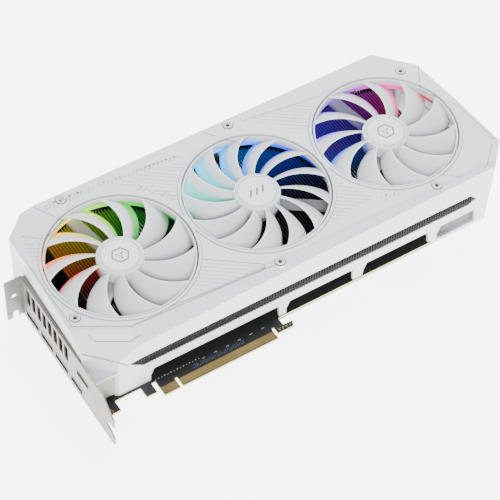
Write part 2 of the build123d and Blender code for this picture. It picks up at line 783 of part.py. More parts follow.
with BuildPart() as heat_pipes:
    for i, y in enumerate(pipe_y):
        end_x = fin_right - 4.0 - 6.0 * (i % 2)
        with BuildLine() as route:
            FilletPolyline((end_x, y, pipe_z), (pipe_left, y, pipe_z), (pipe_left, y, fin_high - 4.0), radius=pipe_bend)
        with BuildSketch(Plane(origin=(end_x, y, pipe_z), z_dir=(-1, 0, 0))):
            Circle(pipe_r)
        sweep(path=route.line)
save("heat_pipes", heat_pipes)

# ---- parts on the board ----
with BuildPart() as gpu_package:
    with Locations((gpu_x, gpu_y, board_top)):
        Box(package_size, package_size, package_t, align=(Align.CENTER, Align.CENTER, Align.MIN))
save("gpu_package", gpu_package)

with BuildPart() as gpu_die:
    with Locations((gpu_x, gpu_y, board_top + package_t)):
        Box(*die_size, die_t, align=(Align.CENTER, Align.CENTER, Align.MIN))
save("gpu_die", gpu_die)

memory_points = [(gpu_x + s * 43.0, gpu_y - 2.0 + 17.0 * (i - 1.5)) for s in (-1, 1) for i in range(4)]
memory_points += [(gpu_x + 8.0 * s, gpu_y + 36.0) for s in (-1, 1)]
with BuildPart() as memory_chips:
    with Locations(*[(x, y, board_top) for x, y in memory_points]):
        Box(*memory_size, memory_t, align=(Align.CENTER, Align.CENTER, Align.MIN))
save("memory_chips", memory_chips)

with BuildPart() as thermal_pads:
    with Locations(*[(x, y, board_top + memory_t) for x, y in memory_points]):
        Box(
            memory_size[0] - 1,
            memory_size[1] - 1,
            plate_low - board_top - memory_t,
            align=(Align.CENTER, Align.CENTER, Align.MIN),
        )
save("thermal_pads", thermal_pads)

phase_y = [gpu_y - 34.0 + 9.5 * i for i in range(8)]
choke_x = [gpu_x - 62.0, gpu_x + 76.0]
with BuildPart() as chokes:
    with Locations(*[(x, y, board_top) for x in choke_x for y in phase_y]):
        Box(7.5, 7.5, 4.4, align=(Align.CENTER, Align.CENTER, Align.MIN))
    chamfer(chokes.edges().filter_by(Axis.Z), length=0.6)
save("chokes", chokes)

with BuildPart() as power_stages:
    with Locations(*[(x + s * 8.0, y, board_top) for x, s in zip(choke_x, (1, -1)) for y in phase_y]):
        Box(5.0, 6.0, 1.0, align=(Align.CENTER, Align.CENTER, Align.MIN))
save("power_stages", power_stages)

with BuildPart() as capacitors:
    with Locations(*[(choke_x[1] + 9.0, y, board_top) for y in phase_y]):
        Cylinder(3.1, 4.8, align=(Align.CENTER, Align.CENTER, Align.MIN))
    chamfer(capacitors.faces().group_by(Axis.Z)[-1].edges(), length=0.4)
save("capacitors", capacitors)

# ---- power sockets on the back edge ----
power_depth = 17.0
power_h = 10.6
cell = 3.6
cell_pitch = 4.2
pin_r = 0.6
socket_front = y_back - 1.0
cells = [(cell_pitch * (i - 1.5), cell_pitch * (j - 0.5)) for i in range(4) for j in range(2)]
for i, x in enumerate(power_x):
    with BuildPart() as power_connector:
        with Locations((x, socket_front, power_z)):
            Box(power_w, power_depth, power_h, align=(Align.CENTER, Align.MAX, Align.CENTER))
        with Locations(*[(x + dx, socket_front, power_z + dz) for dx, dz in cells]):
            Box(cell, 2 * 9.0, cell, mode=Mode.SUBTRACT)
        with Locations((x, socket_front, power_z + power_h / 2)):
            Box(4.0, 2 * 5.0, 2 * 0.8, mode=Mode.SUBTRACT)
    save(f"power_connector_{i + 1}", power_connector)

with BuildPart() as power_pins:
    for x in power_x:
        with Locations(*[(x + dx, socket_front - 2.0, power_z + dz) for dx, dz in cells]):
            Cylinder(pin_r, 7.0, rotation=(90, 0, 0), align=(Align.CENTER, Align.CENTER, Align.MIN))
save("power_pins", power_pins)

# ---- fan headers and leads ----
header_y = board_back - 3.2
header_h = 3.6
header_x = [fan_points[0][0] - 8.0, fan_points[1][0] - 27.0, power_x[0] - 21.0]
with BuildPart() as fan_headers:
    with Locations(*[(x, header_y, board_top) for x in header_x]):
        Box(9.0, 4.6, header_h, align=(Align.CENTER, Align.CENTER, Align.MIN))
    with Locations(*[(x, header_y, board_top + header_h) for x in header_x]):
        Box(7.4, 3.0, 2 * 2.8, mode=Mode.SUBTRACT)
save("fan_headers", fan_headers)

# ---- BIOS switch ----
switch_travel = 2.0
with BuildPart() as bios_switch_housing:
    with Locations((switch_x, board_back, board_top)):
        Box(9.0, 6.0, 3.8, align=(Align.CENTER, Align.CENTER, Align.MIN))
    with Locations((switch_x, board_back + 3.0, board_top + 1.9)):
        Box(5.2, 2 * 2.6, 2.0, mode=Mode.SUBTRACT)
save("bios_switch_housing", bios_switch_housing)

with BuildPart() as bios_switch_slider:
    with Locations((switch_x - switch_travel / 2, board_back + 0.46, board_top + 1.9)):
        Box(3.1, 2.6, 1.9, align=(Align.CENTER, Align.MIN, Align.CENTER))
        Box(1.4, y_back - board_back - 0.8, 1.6, align=(Align.CENTER, Align.MIN, Align.CENTER))
save("bios_switch_slider", bios_switch_slider)

# ---- light bar ----
bar_flange_t = 1.2
with BuildPart() as light_bar:
    with Locations((bar_x, y_back - 0.2, bar_z)):
        Box(bar_length - 0.4, shroud_wall, bar_h - 0.4, align=(Align.CENTER, Align.MAX, Align.CENTER))
    with Locations((bar_x, y_back - shroud_wall, bar_z)):
        Box(bar_length + 4, bar_flange_t, bar_h + 3.0, align=(Align.CENTER, Align.MAX, Align.CENTER))
save("light_bar", light_bar)

led_size = 3.5
led_t = 1.0
led_pitch = 12.0
led_count = 9
led_y = y_back - shroud_wall - bar_flange_t
with BuildPart() as led_strip:
    with Locations(*[(bar_x + led_pitch * (i - (led_count - 1) / 2), led_y, bar_z) for i in range(led_count)]):
        Box(led_size, led_t, led_size, align=(Align.CENTER, Align.MAX, Align.CENTER))
    with Locations((bar_x, led_y - led_t, bar_z)):
        Box(bar_length - 6, 0.8, 5.0, align=(Align.CENTER, Align.MAX, Align.CENTER))
save("led_strip", led_strip)

# ---- retention bracket behind the GPU ----
spring_t = 0.8
spring_z = board_low - spring_t - 0.6
with BuildPart() as retention_bracket:
    with BuildSketch(Plane.XY.offset(spring_z)):
        for turn in (45, -45):
            with Locations(Location((gpu_x, gpu_y, 0), (0, 0, turn))):
                SlotOverall(2 * mount_half * 2**0.5 + 7.0, 6.0)
        with Locations((gpu_x, gpu_y)):
            Rectangle(26, 26)
            Circle(7, mode=Mode.SUBTRACT)
        with Locations(*mount_points):
            Circle(1.4, mode=Mode.SUBTRACT)
    extrude(amount=spring_t)
    with BuildSketch(Plane.XY.offset(spring_z)):
        with Locations(*mount_points):
            Circle(2.6)
            Circle(1.6, mode=Mode.SUBTRACT)
    extrude(amount=board_low - spring_z)
save("retention_bracket", retention_bracket)


# ---- screws ----
def screws(points, head_z, head, shank, down):
    """Socket-head screws; head and shank are (radius, length), down is -1 when the shank points up."""
    with BuildPart() as group:
        for x, y in points:
            with Locations((x, y, head_z)):
                Cylinder(*head, align=(Align.CENTER, Align.CENTER, Align.MIN if down > 0 else Align.MAX))
                Cylinder(*shank, align=(Align.CENTER, Align.CENTER, Align.MAX if down > 0 else Align.MIN))
            with Locations((x, y, head_z + down * head[1])):
                Cylinder(head[0] * 0.5, head[1], mode=Mode.SUBTRACT)
    return group


nut_h = 2.0
save("shroud_screws", screws(post_points, deck_z - 2.0, (2.2, 1.7), (screw_r, 7.0), 1))
save("retention_screws", screws(mount_points, spring_z, (2.4, 1.4), (screw_r, plate_low + 2.6 - spring_z), -1))
save("backplate_screws", screws(foot_points, head_t, (head_r - 0.1, head_t), (screw_r, board_top + nut_h - head_t), -1))
save("bracket_screw", screws([tab_screw], board_top + bracket_t, (2.1, 1.2), (screw_r, bracket_t + board_t + 1.6), 1))

with BuildPart() as backplate_nuts:
    with BuildSketch(Plane.XY.offset(board_top)):
        with Locations(*foot_points):
            RegularPolygon(2.7, 6)
            Circle(screw_r, mode=Mode.SUBTRACT)
    extrude(amount=nut_h)
save("backplate_nuts", backplate_nuts)
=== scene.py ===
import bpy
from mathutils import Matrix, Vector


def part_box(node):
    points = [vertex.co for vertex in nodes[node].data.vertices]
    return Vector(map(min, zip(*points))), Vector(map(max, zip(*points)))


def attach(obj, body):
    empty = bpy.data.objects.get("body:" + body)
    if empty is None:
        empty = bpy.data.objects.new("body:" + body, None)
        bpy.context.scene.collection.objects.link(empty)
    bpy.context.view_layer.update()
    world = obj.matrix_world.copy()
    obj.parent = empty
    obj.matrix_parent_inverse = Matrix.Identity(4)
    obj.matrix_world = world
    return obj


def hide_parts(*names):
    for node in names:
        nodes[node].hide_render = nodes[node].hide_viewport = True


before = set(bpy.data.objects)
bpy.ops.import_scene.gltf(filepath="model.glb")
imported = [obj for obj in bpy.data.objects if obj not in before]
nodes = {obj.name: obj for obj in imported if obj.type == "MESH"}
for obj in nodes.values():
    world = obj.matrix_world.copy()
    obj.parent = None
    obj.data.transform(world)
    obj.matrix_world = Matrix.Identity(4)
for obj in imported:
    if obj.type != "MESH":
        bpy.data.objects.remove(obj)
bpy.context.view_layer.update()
import math
import random
import bmesh
import bpy
from mathutils import Matrix, Vector

mm = 0.001
print("frame loaded:", len(nodes), "nodes")


def srgb(hexColour):  # a hex colour as the linear values that shaders take
    text = hexColour.lstrip("#")
    channels = [int(text[i : i + 2], 16) / 255 for i in (0, 2, 4)]
    linear = [c / 12.92 if c <= 0.04045 else ((c + 0.055) / 1.055) ** 2.4 for c in channels]
    return (*linear, 1.0)


black = srgb("#000000")


def fill(tree, node, inputs):  # links or constants for a node's sockets
    for key, value in inputs.items():
        if isinstance(value, bpy.types.NodeSocket):
            tree.links.new(value, node.inputs[key])
        else:
            node.inputs[key].default_value = value


def addNode(tree, kind, inputs=None, **settings):  # one node with its settings, values and links
    made = tree.nodes.new(kind)
    for key, value in settings.items():
        setattr(made, key, value)
    fill(tree, made, inputs or {})
    return made


def mathNode(tree, operation, *values):
    return addNode(tree, "ShaderNodeMath", dict(enumerate(values)), operation=operation).outputs[0]


def blend(tree, share, first, second, kind="MIX"):  # two colours mixed by a share from 0 to 1
    colours = {0: share, 6: first, 7: second}
    return addNode(tree, "ShaderNodeMix", colours, data_type="RGBA", blend_type=kind).outputs[2]


def ramp(tree, factor, stops):  # stops are (position, colour)
    made = addNode(tree, "ShaderNodeValToRGB", {0: factor})
    elements = made.color_ramp.elements
    elements[0].position, elements[0].color = stops[0]
    elements[1].position, elements[1].color = stops[-1]
    for position, colour in stops[1:-1]:
        elements.new(position).color = colour
    return made.outputs[0]


def perMm(size):  # texture scale whose pattern repeats about once in that many millimetres
    return 1 / (size * mm)


def startMaterial(name):  # an empty material with its tree, shader and object coordinates
    material = bpy.data.materials.new(name)
    material.use_nodes = True
    tree = material.node_tree
    tree.nodes.clear()
    shader = addNode(tree, "ShaderNodeBsdfPrincipled")
    addNode(tree, "ShaderNodeOutputMaterial", {"Surface": shader.outputs[0]})
    place = addNode(tree, "ShaderNodeTexCoord").outputs["Object"]
    return material, tree, shader, place


noiseLow, noiseHigh = 0.3, 0.7  # a noise texture's values lie mostly between these
driftSize = 40  # millimetres between the slow changes of a colour


def noise(tree, place, size, detail=2.0):  # soft random pattern, one blotch in about that many millimetres
    values = {0: place, "Scale": perMm(size), "Detail": detail}
    return addNode(tree, "ShaderNodeTexNoise", values).outputs[0]


def drift(tree, pattern, dark, light):  # a colour that wanders between two tones
    return ramp(tree, pattern, [(noiseLow, srgb(dark)), (noiseHigh, srgb(light))])


def relief(tree, height, depth, strength):  # bump whose depth is in millimetres
    values = {"Height": height, "Distance": depth * mm, "Strength": strength}
    return addNode(tree, "ShaderNodeBump", values).outputs[0]


def surface(name, look):  # colour drifts between dark and light, fine grain sets gloss and bump
    material, tree, shader, place = startMaterial(name)
    stretched = addNode(tree, "ShaderNodeMapping", {0: place, "Scale": look.get("stretch", (1, 1, 1))})
    grain = noise(tree, stretched.outputs[0], look["grain"], 4.0)
    smooth, coarse = look["rough"]
    gloss = {0: grain, 1: noiseLow, 2: noiseHigh, 3: smooth, 4: coarse}
    sockets = {
        "Base Color": drift(tree, noise(tree, place, driftSize), look["dark"], look["light"]),
        "Roughness": addNode(tree, "ShaderNodeMapRange", gloss).outputs[0],
        "Normal": relief(tree, grain, look["depth"], look.get("bump", 0.4)),
        "Metallic": look.get("metal", 0.0),
        **look.get("sockets", {}),
    }
    fill(tree, shader, sockets)
    return material


# moulded ABS, painted white: satin, with the faint orange peel of a spray coat
whiteAbs = surface(
    "whitePaintedAbs",
    {
        "grain": 0.8, "dark": "#C9CCCF", "light": "#D0D3D5",
        "rough": (0.36, 0.44), "depth": 0.02, "bump": 0.25,
    },
)
# powder-coated aluminium: a little coarser and cooler than the plastic
whitePowder = surface(
    "whitePowderCoat",
    {
        "grain": 0.6, "dark": "#C9CED1", "light": "#D0D5D7",
        "rough": (0.42, 0.5), "depth": 0.03, "bump": 0.35,
    },
)
# white moulded PBT of the fans: smoother, slightly glossy
whitePbt = surface(
    "whiteMouldedPbt",
    {
        "grain": 1.2, "dark": "#D2D4D6", "light": "#D9DBDD",
        "rough": (0.28, 0.36), "depth": 0.015, "bump": 0.2,
    },
)
# shadow line in the bottom of a moulded groove
grooveGrey = surface(
    "grooveShadowPaint",
    {"grain": 0.6, "dark": "#5C6063", "light": "#6E7275", "rough": (0.6, 0.7), "depth": 0.02},
)
# soft grey of pad-printed decoration on the white plastic
printGrey = surface(
    "padPrintedGrey",
    {"grain": 0.6, "dark": "#A3A6A9", "light": "#ADB0B2", "rough": (0.36, 0.44), "depth": 0.01},
)
# brushed aluminium foil of the hub emblems
foilSilver = surface(
    "brushedAluminiumFoil",
    {
        "grain": 0.3, "stretch": (1, 8, 1), "dark": "#4C4E50", "light": "#626466",
        "rough": (0.45, 0.55), "depth": 0.01, "metal": 0.5,
    },
)
# bent steel sheet with a nickel plate: warm grey, faint rolling lines along its length
bracketSteel = surface(
    "nickelPlatedSteel",
    {
        "grain": 0.5, "stretch": (1, 0.12, 1), "dark": "#6E6C66", "light": "#85827C",
        "rough": (0.38, 0.52), "depth": 0.02, "metal": 0.75,
    },
)
# stamped socket shells, brighter nickel
portNickel = surface(
    "nickelSocketShell",
    {
        "grain": 0.4, "dark": "#9C9992", "light": "#B4B1AA",
        "rough": (0.24, 0.36), "depth": 0.01, "metal": 1.0,
    },
)
# dark zinc on the spring and screws
screwZinc = surface(
    "zincPlatedScrew",
    {
        "grain": 0.3, "dark": "#77787A", "light": "#909193",
        "rough": (0.26, 0.38), "depth": 0.01, "metal": 1.0,
    },
)
# painted shade: near black standing in for the shade in a screw's socket, round its collar and in a slot in
# the left wall
recessShadeBlack = surface(
    "paintedRecessShade",
    {"grain": 0.3, "dark": "#0B0B0C", "light": "#141415", "rough": (0.5, 0.6), "depth": 0.01},
)
# nickel on copper: heat pipes and the cold plate
pipeNickel = surface(
    "nickelPlatedCopper",
    {
        "grain": 0.5, "dark": "#8A837C", "light": "#A39B93",
        "rough": (0.2, 0.32), "depth": 0.01, "metal": 1.0,
    },
)
# hard nickel-gold of the edge contacts
edgeGold = surface(
    "hardGoldPlate",
    {
        "grain": 0.5, "dark": "#99804C", "light": "#B59C63",
        "rough": (0.26, 0.36), "depth": 0.005, "metal": 1.0,
    },
)
# black glass-filled nylon of the sockets
blackNylon = surface(
    "blackGlassNylon",
    {"grain": 0.5, "dark": "#0F0F11", "light": "#19191B", "rough": (0.45, 0.58), "depth": 0.03},
)
# natural nylon of headers and the switch
naturalNylon = surface(
    "naturalNylon",
    {"grain": 0.5, "dark": "#DAD7CE", "light": "#E6E3DB", "rough": (0.4, 0.5), "depth": 0.02},
)
# grey PBT of the motor frames
motorGrey = surface(
    "greyMouldedPbt",
    {"grain": 0.7, "dark": "#8C8F93", "light": "#9DA0A4", "rough": (0.42, 0.52), "depth": 0.02},
)
# moulded epoxy of chips
chipEpoxy = surface(
    "mouldedEpoxy",
    {"grain": 0.3, "dark": "#111112", "light": "#1B1B1C", "rough": (0.5, 0.62), "depth": 0.02},
)
# glass laminate of the chip carrier
carrierLaminate = surface(
    "greenLaminate",
    {"grain": 0.6, "dark": "#173524", "light": "#1F4430", "rough": (0.35, 0.45), "depth": 0.01},
)
# polished silicon
polishedSilicon = surface(
    "polishedSilicon",
    {
        "grain": 3.0, "dark": "#55585E", "light": "#63666D",
        "rough": (0.05, 0.1), "depth": 0.001, "metal": 0.8,
    },
)
# silicone pads: chalky blue grey
siliconePad = surface(
    "siliconePad",
    {"grain": 0.4, "dark": "#7F8794", "light": "#929AA6", "rough": (0.7, 0.85), "depth": 0.04},
)
# pressed iron powder of the chokes
ironPowder = surface(
    "pressedIronPowder",
    {"grain": 0.25, "dark": "#2D2D2F", "light": "#3C3C3E", "rough": (0.6, 0.75), "depth": 0.04},
)
# bare aluminium capacitor cans
bareCan = surface(
    "bareAluminiumCan",
    {
        "grain": 0.4, "dark": "#A5A6A8", "light": "#BCBDBF",
        "rough": (0.25, 0.35), "depth": 0.005, "metal": 1.0,
    },
)
# milky acrylic light guide
milkyAcrylic = surface(
    "milkyAcrylic",
    {
        "grain": 2.0, "dark": "#E9EAEC", "light": "#F2F3F4",
        "rough": (0.2, 0.28), "depth": 0.005, "sockets": {"Subsurface Weight": 0.3},
    },
)
# bonded ferrite magnets
bondedFerrite = surface(
    "bondedFerrite",
    {"grain": 0.3, "dark": "#2A2827", "light": "#393735", "rough": (0.6, 0.7), "depth": 0.03},
)
# ground shafts
groundSteel = surface(
    "groundSteel",
    {
        "grain": 0.3, "stretch": (1, 1, 0.1), "dark": "#A9AAAB", "light": "#BDBEBF",
        "rough": (0.15, 0.25), "depth": 0.005, "metal": 1.0,
    },
)
# oil-filled sintered bronze
sinteredBronze = surface(
    "sinteredBronze",
    {
        "grain": 0.2, "dark": "#8A6A3F", "light": "#A07E50",
        "rough": (0.45, 0.6), "depth": 0.03, "metal": 1.0,
    },
)
# stacked electrical steel: lines 0.5 mm apart up the stack
coreSteel = surface(
    "laminatedCoreSteel",
    {
        "grain": 0.5, "stretch": (0.1, 0.1, 1), "dark": "#5B5C5E", "light": "#747577",
        "rough": (0.4, 0.5), "depth": 0.03, "metal": 1.0,
    },
)
# enamelled copper wire, wound: turns 0.4 mm apart
woundCopper = surface(
    "enamelledCopperWire",
    {
        "grain": 0.4, "stretch": (0.2, 0.2, 1), "dark": "#8E4E24", "light": "#B06A38",
        "rough": (0.25, 0.35), "depth": 0.08, "metal": 1.0,
    },
)

# shallow moulded rib, seen only by its thin shadow
ribShade = surface(
    "mouldedRibShade",
    {"grain": 0.6, "dark": "#7E8184", "light": "#8E9193", "rough": (0.4, 0.5), "depth": 0.01},
)
# cut edges of coated fins: near black with a warm cast; also the painted shade filling the slot between the
# fins
finEdgeAndSlotShade = surface(
    "coatedFinEdgeAndSlotShade",
    {
        "grain": 0.5, "dark": "#080807", "light": "#12100D",
        "rough": (0.4, 0.55), "depth": 0.02, "metal": 0.6,
    },
)
# folded tabs between the fins, worn to a bronze sheen
finTabBronze = surface(
    "foldedFinTab",
    {
        "grain": 0.5, "dark": "#211C14", "light": "#3A3225",
        "rough": (0.35, 0.5), "depth": 0.02, "metal": 0.7,
    },
)
# glazed ceramic of tiny capacitors, blue grey
chipCeramic = surface(
    "glazedCeramicChip",
    {"grain": 0.4, "dark": "#3C5568", "light": "#57748A", "rough": (0.3, 0.45), "depth": 0.01},
)
# white epoxy ink printed on the board
silkWhite = surface(
    "whiteEpoxyInk",
    {"grain": 0.4, "dark": "#B9BBBD", "light": "#D2D4D5", "rough": (0.5, 0.6), "depth": 0.01},
)
# bare copper of the grounding pads
bareCopper = surface(
    "bareCopper",
    {
        "grain": 0.5, "dark": "#B4602F", "light": "#D07A44",
        "rough": (0.3, 0.42), "depth": 0.01, "metal": 0.9,
    },
)


def boardMaterial():
    # glass-epoxy board: black solder mask over faint copper runs, raw yellow-green laminate at its cut edges
    material, tree, shader, place = startMaterial("blackSolderMaskBoard")
    facing = addNode(tree, "ShaderNodeTexCoord").outputs["Normal"]
    upright = addNode(tree, "ShaderNodeSeparateXYZ", {0: facing}).outputs[2]
    flatFace = 0.9  # faces steeper than this are the cut edges
    cut = mathNode(tree, "LESS_THAN", mathNode(tree, "ABSOLUTE", upright), flatFace)
    tracks = {"Scale": perMm(1.0), "Brick Width": 9.0, "Row Height": 0.9}
    gaps = {"Mortar Size": 0.12, "Mortar Smooth": 0.2}
    mask = {"Color1": srgb("#111112"), "Color2": srgb("#161617"), "Mortar": srgb("#222324")}
    runs = addNode(tree, "ShaderNodeTexBrick", {0: place, **tracks, **gaps, **mask})
    laminate = drift(tree, noise(tree, place, 0.7), "#C9C66F", "#DEDB8C")
    sockets = {
        "Base Color": blend(tree, cut, runs.outputs[0], laminate),
        "Normal": relief(tree, runs.outputs[1], 0.03, 0.5),
        "Roughness": 0.5,
    }
    fill(tree, shader, sockets)
    return material


solderMask = boardMaterial()

finishes = {
    "shroud": whiteAbs,
    "side_frame": whitePowder,
    "backplate": whitePowder,
    "pcb": solderMask,
    "edge_contacts": edgeGold,
    "io_bracket": bracketSteel,
    "displayport_": portNickel,
    "hdmi_port_": portNickel,
    "heat_pipes": pipeNickel,
    "cold_plate": pipeNickel,
    "gpu_package": carrierLaminate,
    "gpu_die": polishedSilicon,
    "memory_chips": chipEpoxy,
    "thermal_pads": siliconePad,
    "chokes": ironPowder,
    "power_stages": chipEpoxy,
    "capacitors": bareCan,
    "power_connector_": blackNylon,
    "power_pins": edgeGold,
    "fan_headers": naturalNylon,
    "bios_switch_housing": blackNylon,
    "bios_switch_slider": naturalNylon,
    "light_bar": milkyAcrylic,
    "led_strip": naturalNylon,
    "retention_bracket": screwZinc,
    "shroud_screws": whitePowder,
    "retention_screws": screwZinc,
    "backplate_screws": screwZinc,
    "backplate_nuts": screwZinc,
    "bracket_screw": screwZinc,
    "fan_windings": woundCopper,
    "rotor_": whitePbt,
    "hub_cap_": whitePbt,
    "magnet_ring_": bondedFerrite,
    "shaft_": groundSteel,
    "motor_base_": motorGrey,
    "bearing_": sinteredBronze,
    "stator_": coreSteel,
}
for name, piece in nodes.items():
    if name.startswith("fin_stack_"):  # its finish follows further down, once the fans' light is defined
        continue
    key = next(k for k in sorted(finishes, key=len, reverse=True) if name.startswith(k))
    piece.data.materials.clear()
    piece.data.materials.append(finishes[key])
print("finishes given to the CAD pieces")


def linked(name, data):  # a new object in the scene
    piece = bpy.data.objects.new(name, data)
    bpy.context.scene.collection.objects.link(piece)
    return piece


def newPiece(name, bm, material, smoothAngle=40):  # an angle of 0 leaves every edge smooth
    bmesh.ops.recalc_face_normals(bm, faces=bm.faces)
    mesh = bpy.data.meshes.new(name)
    bm.to_mesh(mesh)
    bm.free()
    mesh.materials.append(material)
    mesh.shade_smooth()
    if smoothAngle:
        mesh.set_sharp_from_angle(angle=math.radians(smoothAngle))
    return linked(name, mesh)


def around(centre, radius, degrees):  # a point at that angle round a centre
    turn = math.radians(degrees)
    return centre[0] + radius * math.cos(turn), centre[1] + radius * math.sin(turn)


def turnedLoops(bm, centre, profile, steps):  # (radius, height) corners at each step round an axis
    loops = []
    for i in range(steps):
        places = [(*around(centre, r, 360 * i / steps), z) for r, z in profile]
        loops.append([bm.verts.new((x * mm, y * mm, z * mm)) for x, y, z in places])
    return loops


def lathe(bm, centre, profile, steps=96):  # profile is a closed loop of (radius, height) in mm
    loops = turnedLoops(bm, centre, profile, steps)
    for i, a in enumerate(loops):
        b = loops[(i + 1) % steps]
        for j in range(len(profile)):
            k = (j + 1) % len(profile)
            bm.faces.new((a[j], b[j], b[k], a[k]))


def disc(bm, centre, profile, steps=96):  # profile starts and ends on the axis
    low, high = (bm.verts.new((centre[0] * mm, centre[1] * mm, profile[end][1] * mm)) for end in (0, -1))
    inner = profile[1:-1]
    loops = turnedLoops(bm, centre, inner, steps)
    for i, a in enumerate(loops):
        b = loops[(i + 1) % steps]
        bm.faces.new((low, b[0], a[0]))
        bm.faces.new((high, a[-1], b[-1]))
        for j in range(len(inner) - 1):
            bm.faces.new((a[j], b[j], b[j + 1], a[j + 1]))


def prism(bm, bottom, top):  # a closed solid between two matching outlines of mesh corners
    bm.faces.new(list(reversed(bottom)))
    bm.faces.new(top)
    for i in range(len(bottom)):
        k = (i + 1) % len(bottom)
        bm.faces.new((bottom[i], bottom[k], top[k], top[i]))


def slab(bm, outline, low, high):  # flat plate from an outline in mm, between two heights
    prism(bm, *([bm.verts.new((x * mm, y * mm, z * mm)) for x, y in outline] for z in (low, high)))


def startGroup(name, inputs):  # a geometry node group: a mesh and the named inputs go in, a mesh comes out
    tree = bpy.data.node_groups.new(name, "GeometryNodeTree")
    for label, kind in {"Geometry": "Geometry", **inputs, "Material": "Material"}.items():
        tree.interface.new_socket(label, in_out="INPUT", socket_type="NodeSocket" + kind)
    tree.interface.new_socket("Geometry", in_out="OUTPUT", socket_type="NodeSocketGeometry")
    return tree, addNode(tree, "NodeGroupInput").outputs


def endGroup(tree, copies, material):  # copies become plain mesh with the material
    solid = addNode(tree, "GeometryNodeRealizeInstances", {0: copies.outputs[0]})
    painted = addNode(tree, "GeometryNodeSetMaterial", {"Geometry": solid.outputs[0], "Material": material})
    addNode(tree, "NodeGroupOutput", {0: painted.outputs[0]})
    return tree


def roundGroup():  # copies of a mesh on one spot, each turned further about Z
    kinds = {"Count": "Int", "Turn": "Float", "Start": "Vector", "First Turn": "Float"}
    tree, given = startGroup("repeatRoundCentre", kinds)
    spot = {"Count": given["Count"], "Start Location": given["Start"], "Offset": (0, 0, 0)}
    points = addNode(tree, "GeometryNodeMeshLine", spot, mode="OFFSET")
    index = addNode(tree, "GeometryNodeInputIndex").outputs[0]
    turn = mathNode(tree, "MULTIPLY_ADD", index, given["Turn"], given["First Turn"])
    spin = addNode(tree, "ShaderNodeCombineXYZ", {2: turn}).outputs[0]
    put = {"Points": points.outputs[0], "Instance": given["Geometry"], "Rotation": spin}
    return endGroup(tree, addNode(tree, "GeometryNodeInstanceOnPoints", put), given["Material"])


def barGroup():  # a small box at every point, sized and turned by the point's own attributes
    tree, given = startGroup("boxAtEachPoint", {})
    block = addNode(tree, "GeometryNodeMeshCube", {"Size": (1.0, 1.0, 1.0)}).outputs[0]
    size, turn = (
        addNode(tree, "GeometryNodeInputNamedAttribute", {"Name": label}, data_type="FLOAT_VECTOR").outputs[0]
        for label in ("size", "turn")
    )
    put = {"Points": given["Geometry"], "Instance": block, "Rotation": turn, "Scale": size}
    return endGroup(tree, addNode(tree, "GeometryNodeInstanceOnPoints", put), given["Material"])


roundCopies = roundGroup()
boxes = barGroup()


def plainMesh(seed, name, group, values):  # the seed run through a node group once and kept as a plain mesh
    modifier = seed.modifiers.new(name, "NODES")
    modifier.node_group = group
    for item in group.interface.items_tree:
        if item.in_out == "INPUT" and item.name in values:
            modifier[item.identifier] = values[item.name]
    bpy.context.view_layer.update()
    mesh = bpy.data.meshes.new_from_object(seed.evaluated_get(bpy.context.evaluated_depsgraph_get()))
    mesh.name = name
    seed.modifiers.remove(modifier)
    bpy.data.objects.remove(seed)
    return linked(name, mesh)


def bars(name, material, spots):  # spots are (middle, size, turn about Z in radians), in mm
    mesh = bpy.data.meshes.new(name + ".points")
    mesh.from_pydata([[c * mm for c in middle] for middle, size, turn in spots], [], [])
    sizes = mesh.attributes.new("size", "FLOAT_VECTOR", "POINT")
    turns = mesh.attributes.new("turn", "FLOAT_VECTOR", "POINT")
    for i, (middle, size, turn) in enumerate(spots):
        sizes.data[i].vector = [c * mm for c in size]
        turns.data[i].vector = (0, 0, turn)
    return plainMesh(linked(name + ".seed", mesh), name, boxes, {"Material": material})


def joinInto(name, pieces):  # several plain meshes as one
    bm = bmesh.new()
    for piece in pieces:
        bm.from_mesh(piece.data)
    mesh = pieces[0].data.copy()
    mesh.name = name
    bm.to_mesh(mesh)
    bm.free()
    for piece in pieces:
        bpy.data.objects.remove(piece)
    return linked(name, mesh)


fan = {
    "hub": 15.7,
    "hubWall": 1.4,
    "bore": 2.0,
    "top": 56.9,
    "bottom": 47.7,
    "cap": 14.1,
    "capTop": 57.3,
    "ring": 48.7,
    "ringWall": 1.25,
    "ringLow": 51.9,
    "ringHigh": 57.0,
    "ringSoft": 0.45,
    "bladeHigh": 56.5,
    "bladeLow": 48.1,
    "thick": 1.15,
    "camber": 1.1,
    "intoHub": 0.9,
    "intoRing": 0.5,
    "sweep": 0.42,
    "hook": 0.0098,
}
fanPlaces = {
    "left": {"blades": 11, "hand": 1, "chord": 24.0, "phase": 20.0},
    "middle": {"blades": 13, "hand": -1, "chord": 20.5, "phase": 63.0},
    "right": {"blades": 11, "hand": 1, "chord": 24.0, "phase": 20.0},
}
guide = {"inner": 49.2, "outer": 49.66, "low": 47.2, "high": 50.6, "soft": 0.15}
badgeLook = {
    "low": -0.05,
    "high": 0.03,
    "inlay": (1.28, 1.62),
    "inlayDepth": (0.24, 0.12),
    "barPitch": 4.6,
    "barReach": 2.4,
    "barFoot": 0.9,
    "barHalf": 2.6,
    "hexagon": (6.4, 5.3),
    "spoke": (0.6, 3.6),
    "spokeHalf": (0.55, 0.33),
}
deckZ = 57.3  # height of the shroud's front face


def centreOf(which):
    low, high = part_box("shaft_" + which)
    return ((low.x + high.x) / 2 / mm, (low.y + high.y) / 2 / mm)


def sweepOf(r):  # degrees by which the blade's leading edge runs ahead at a radius
    out = r - fan["hub"]
    return fan["hook"] * out**2 + fan["sweep"] * out


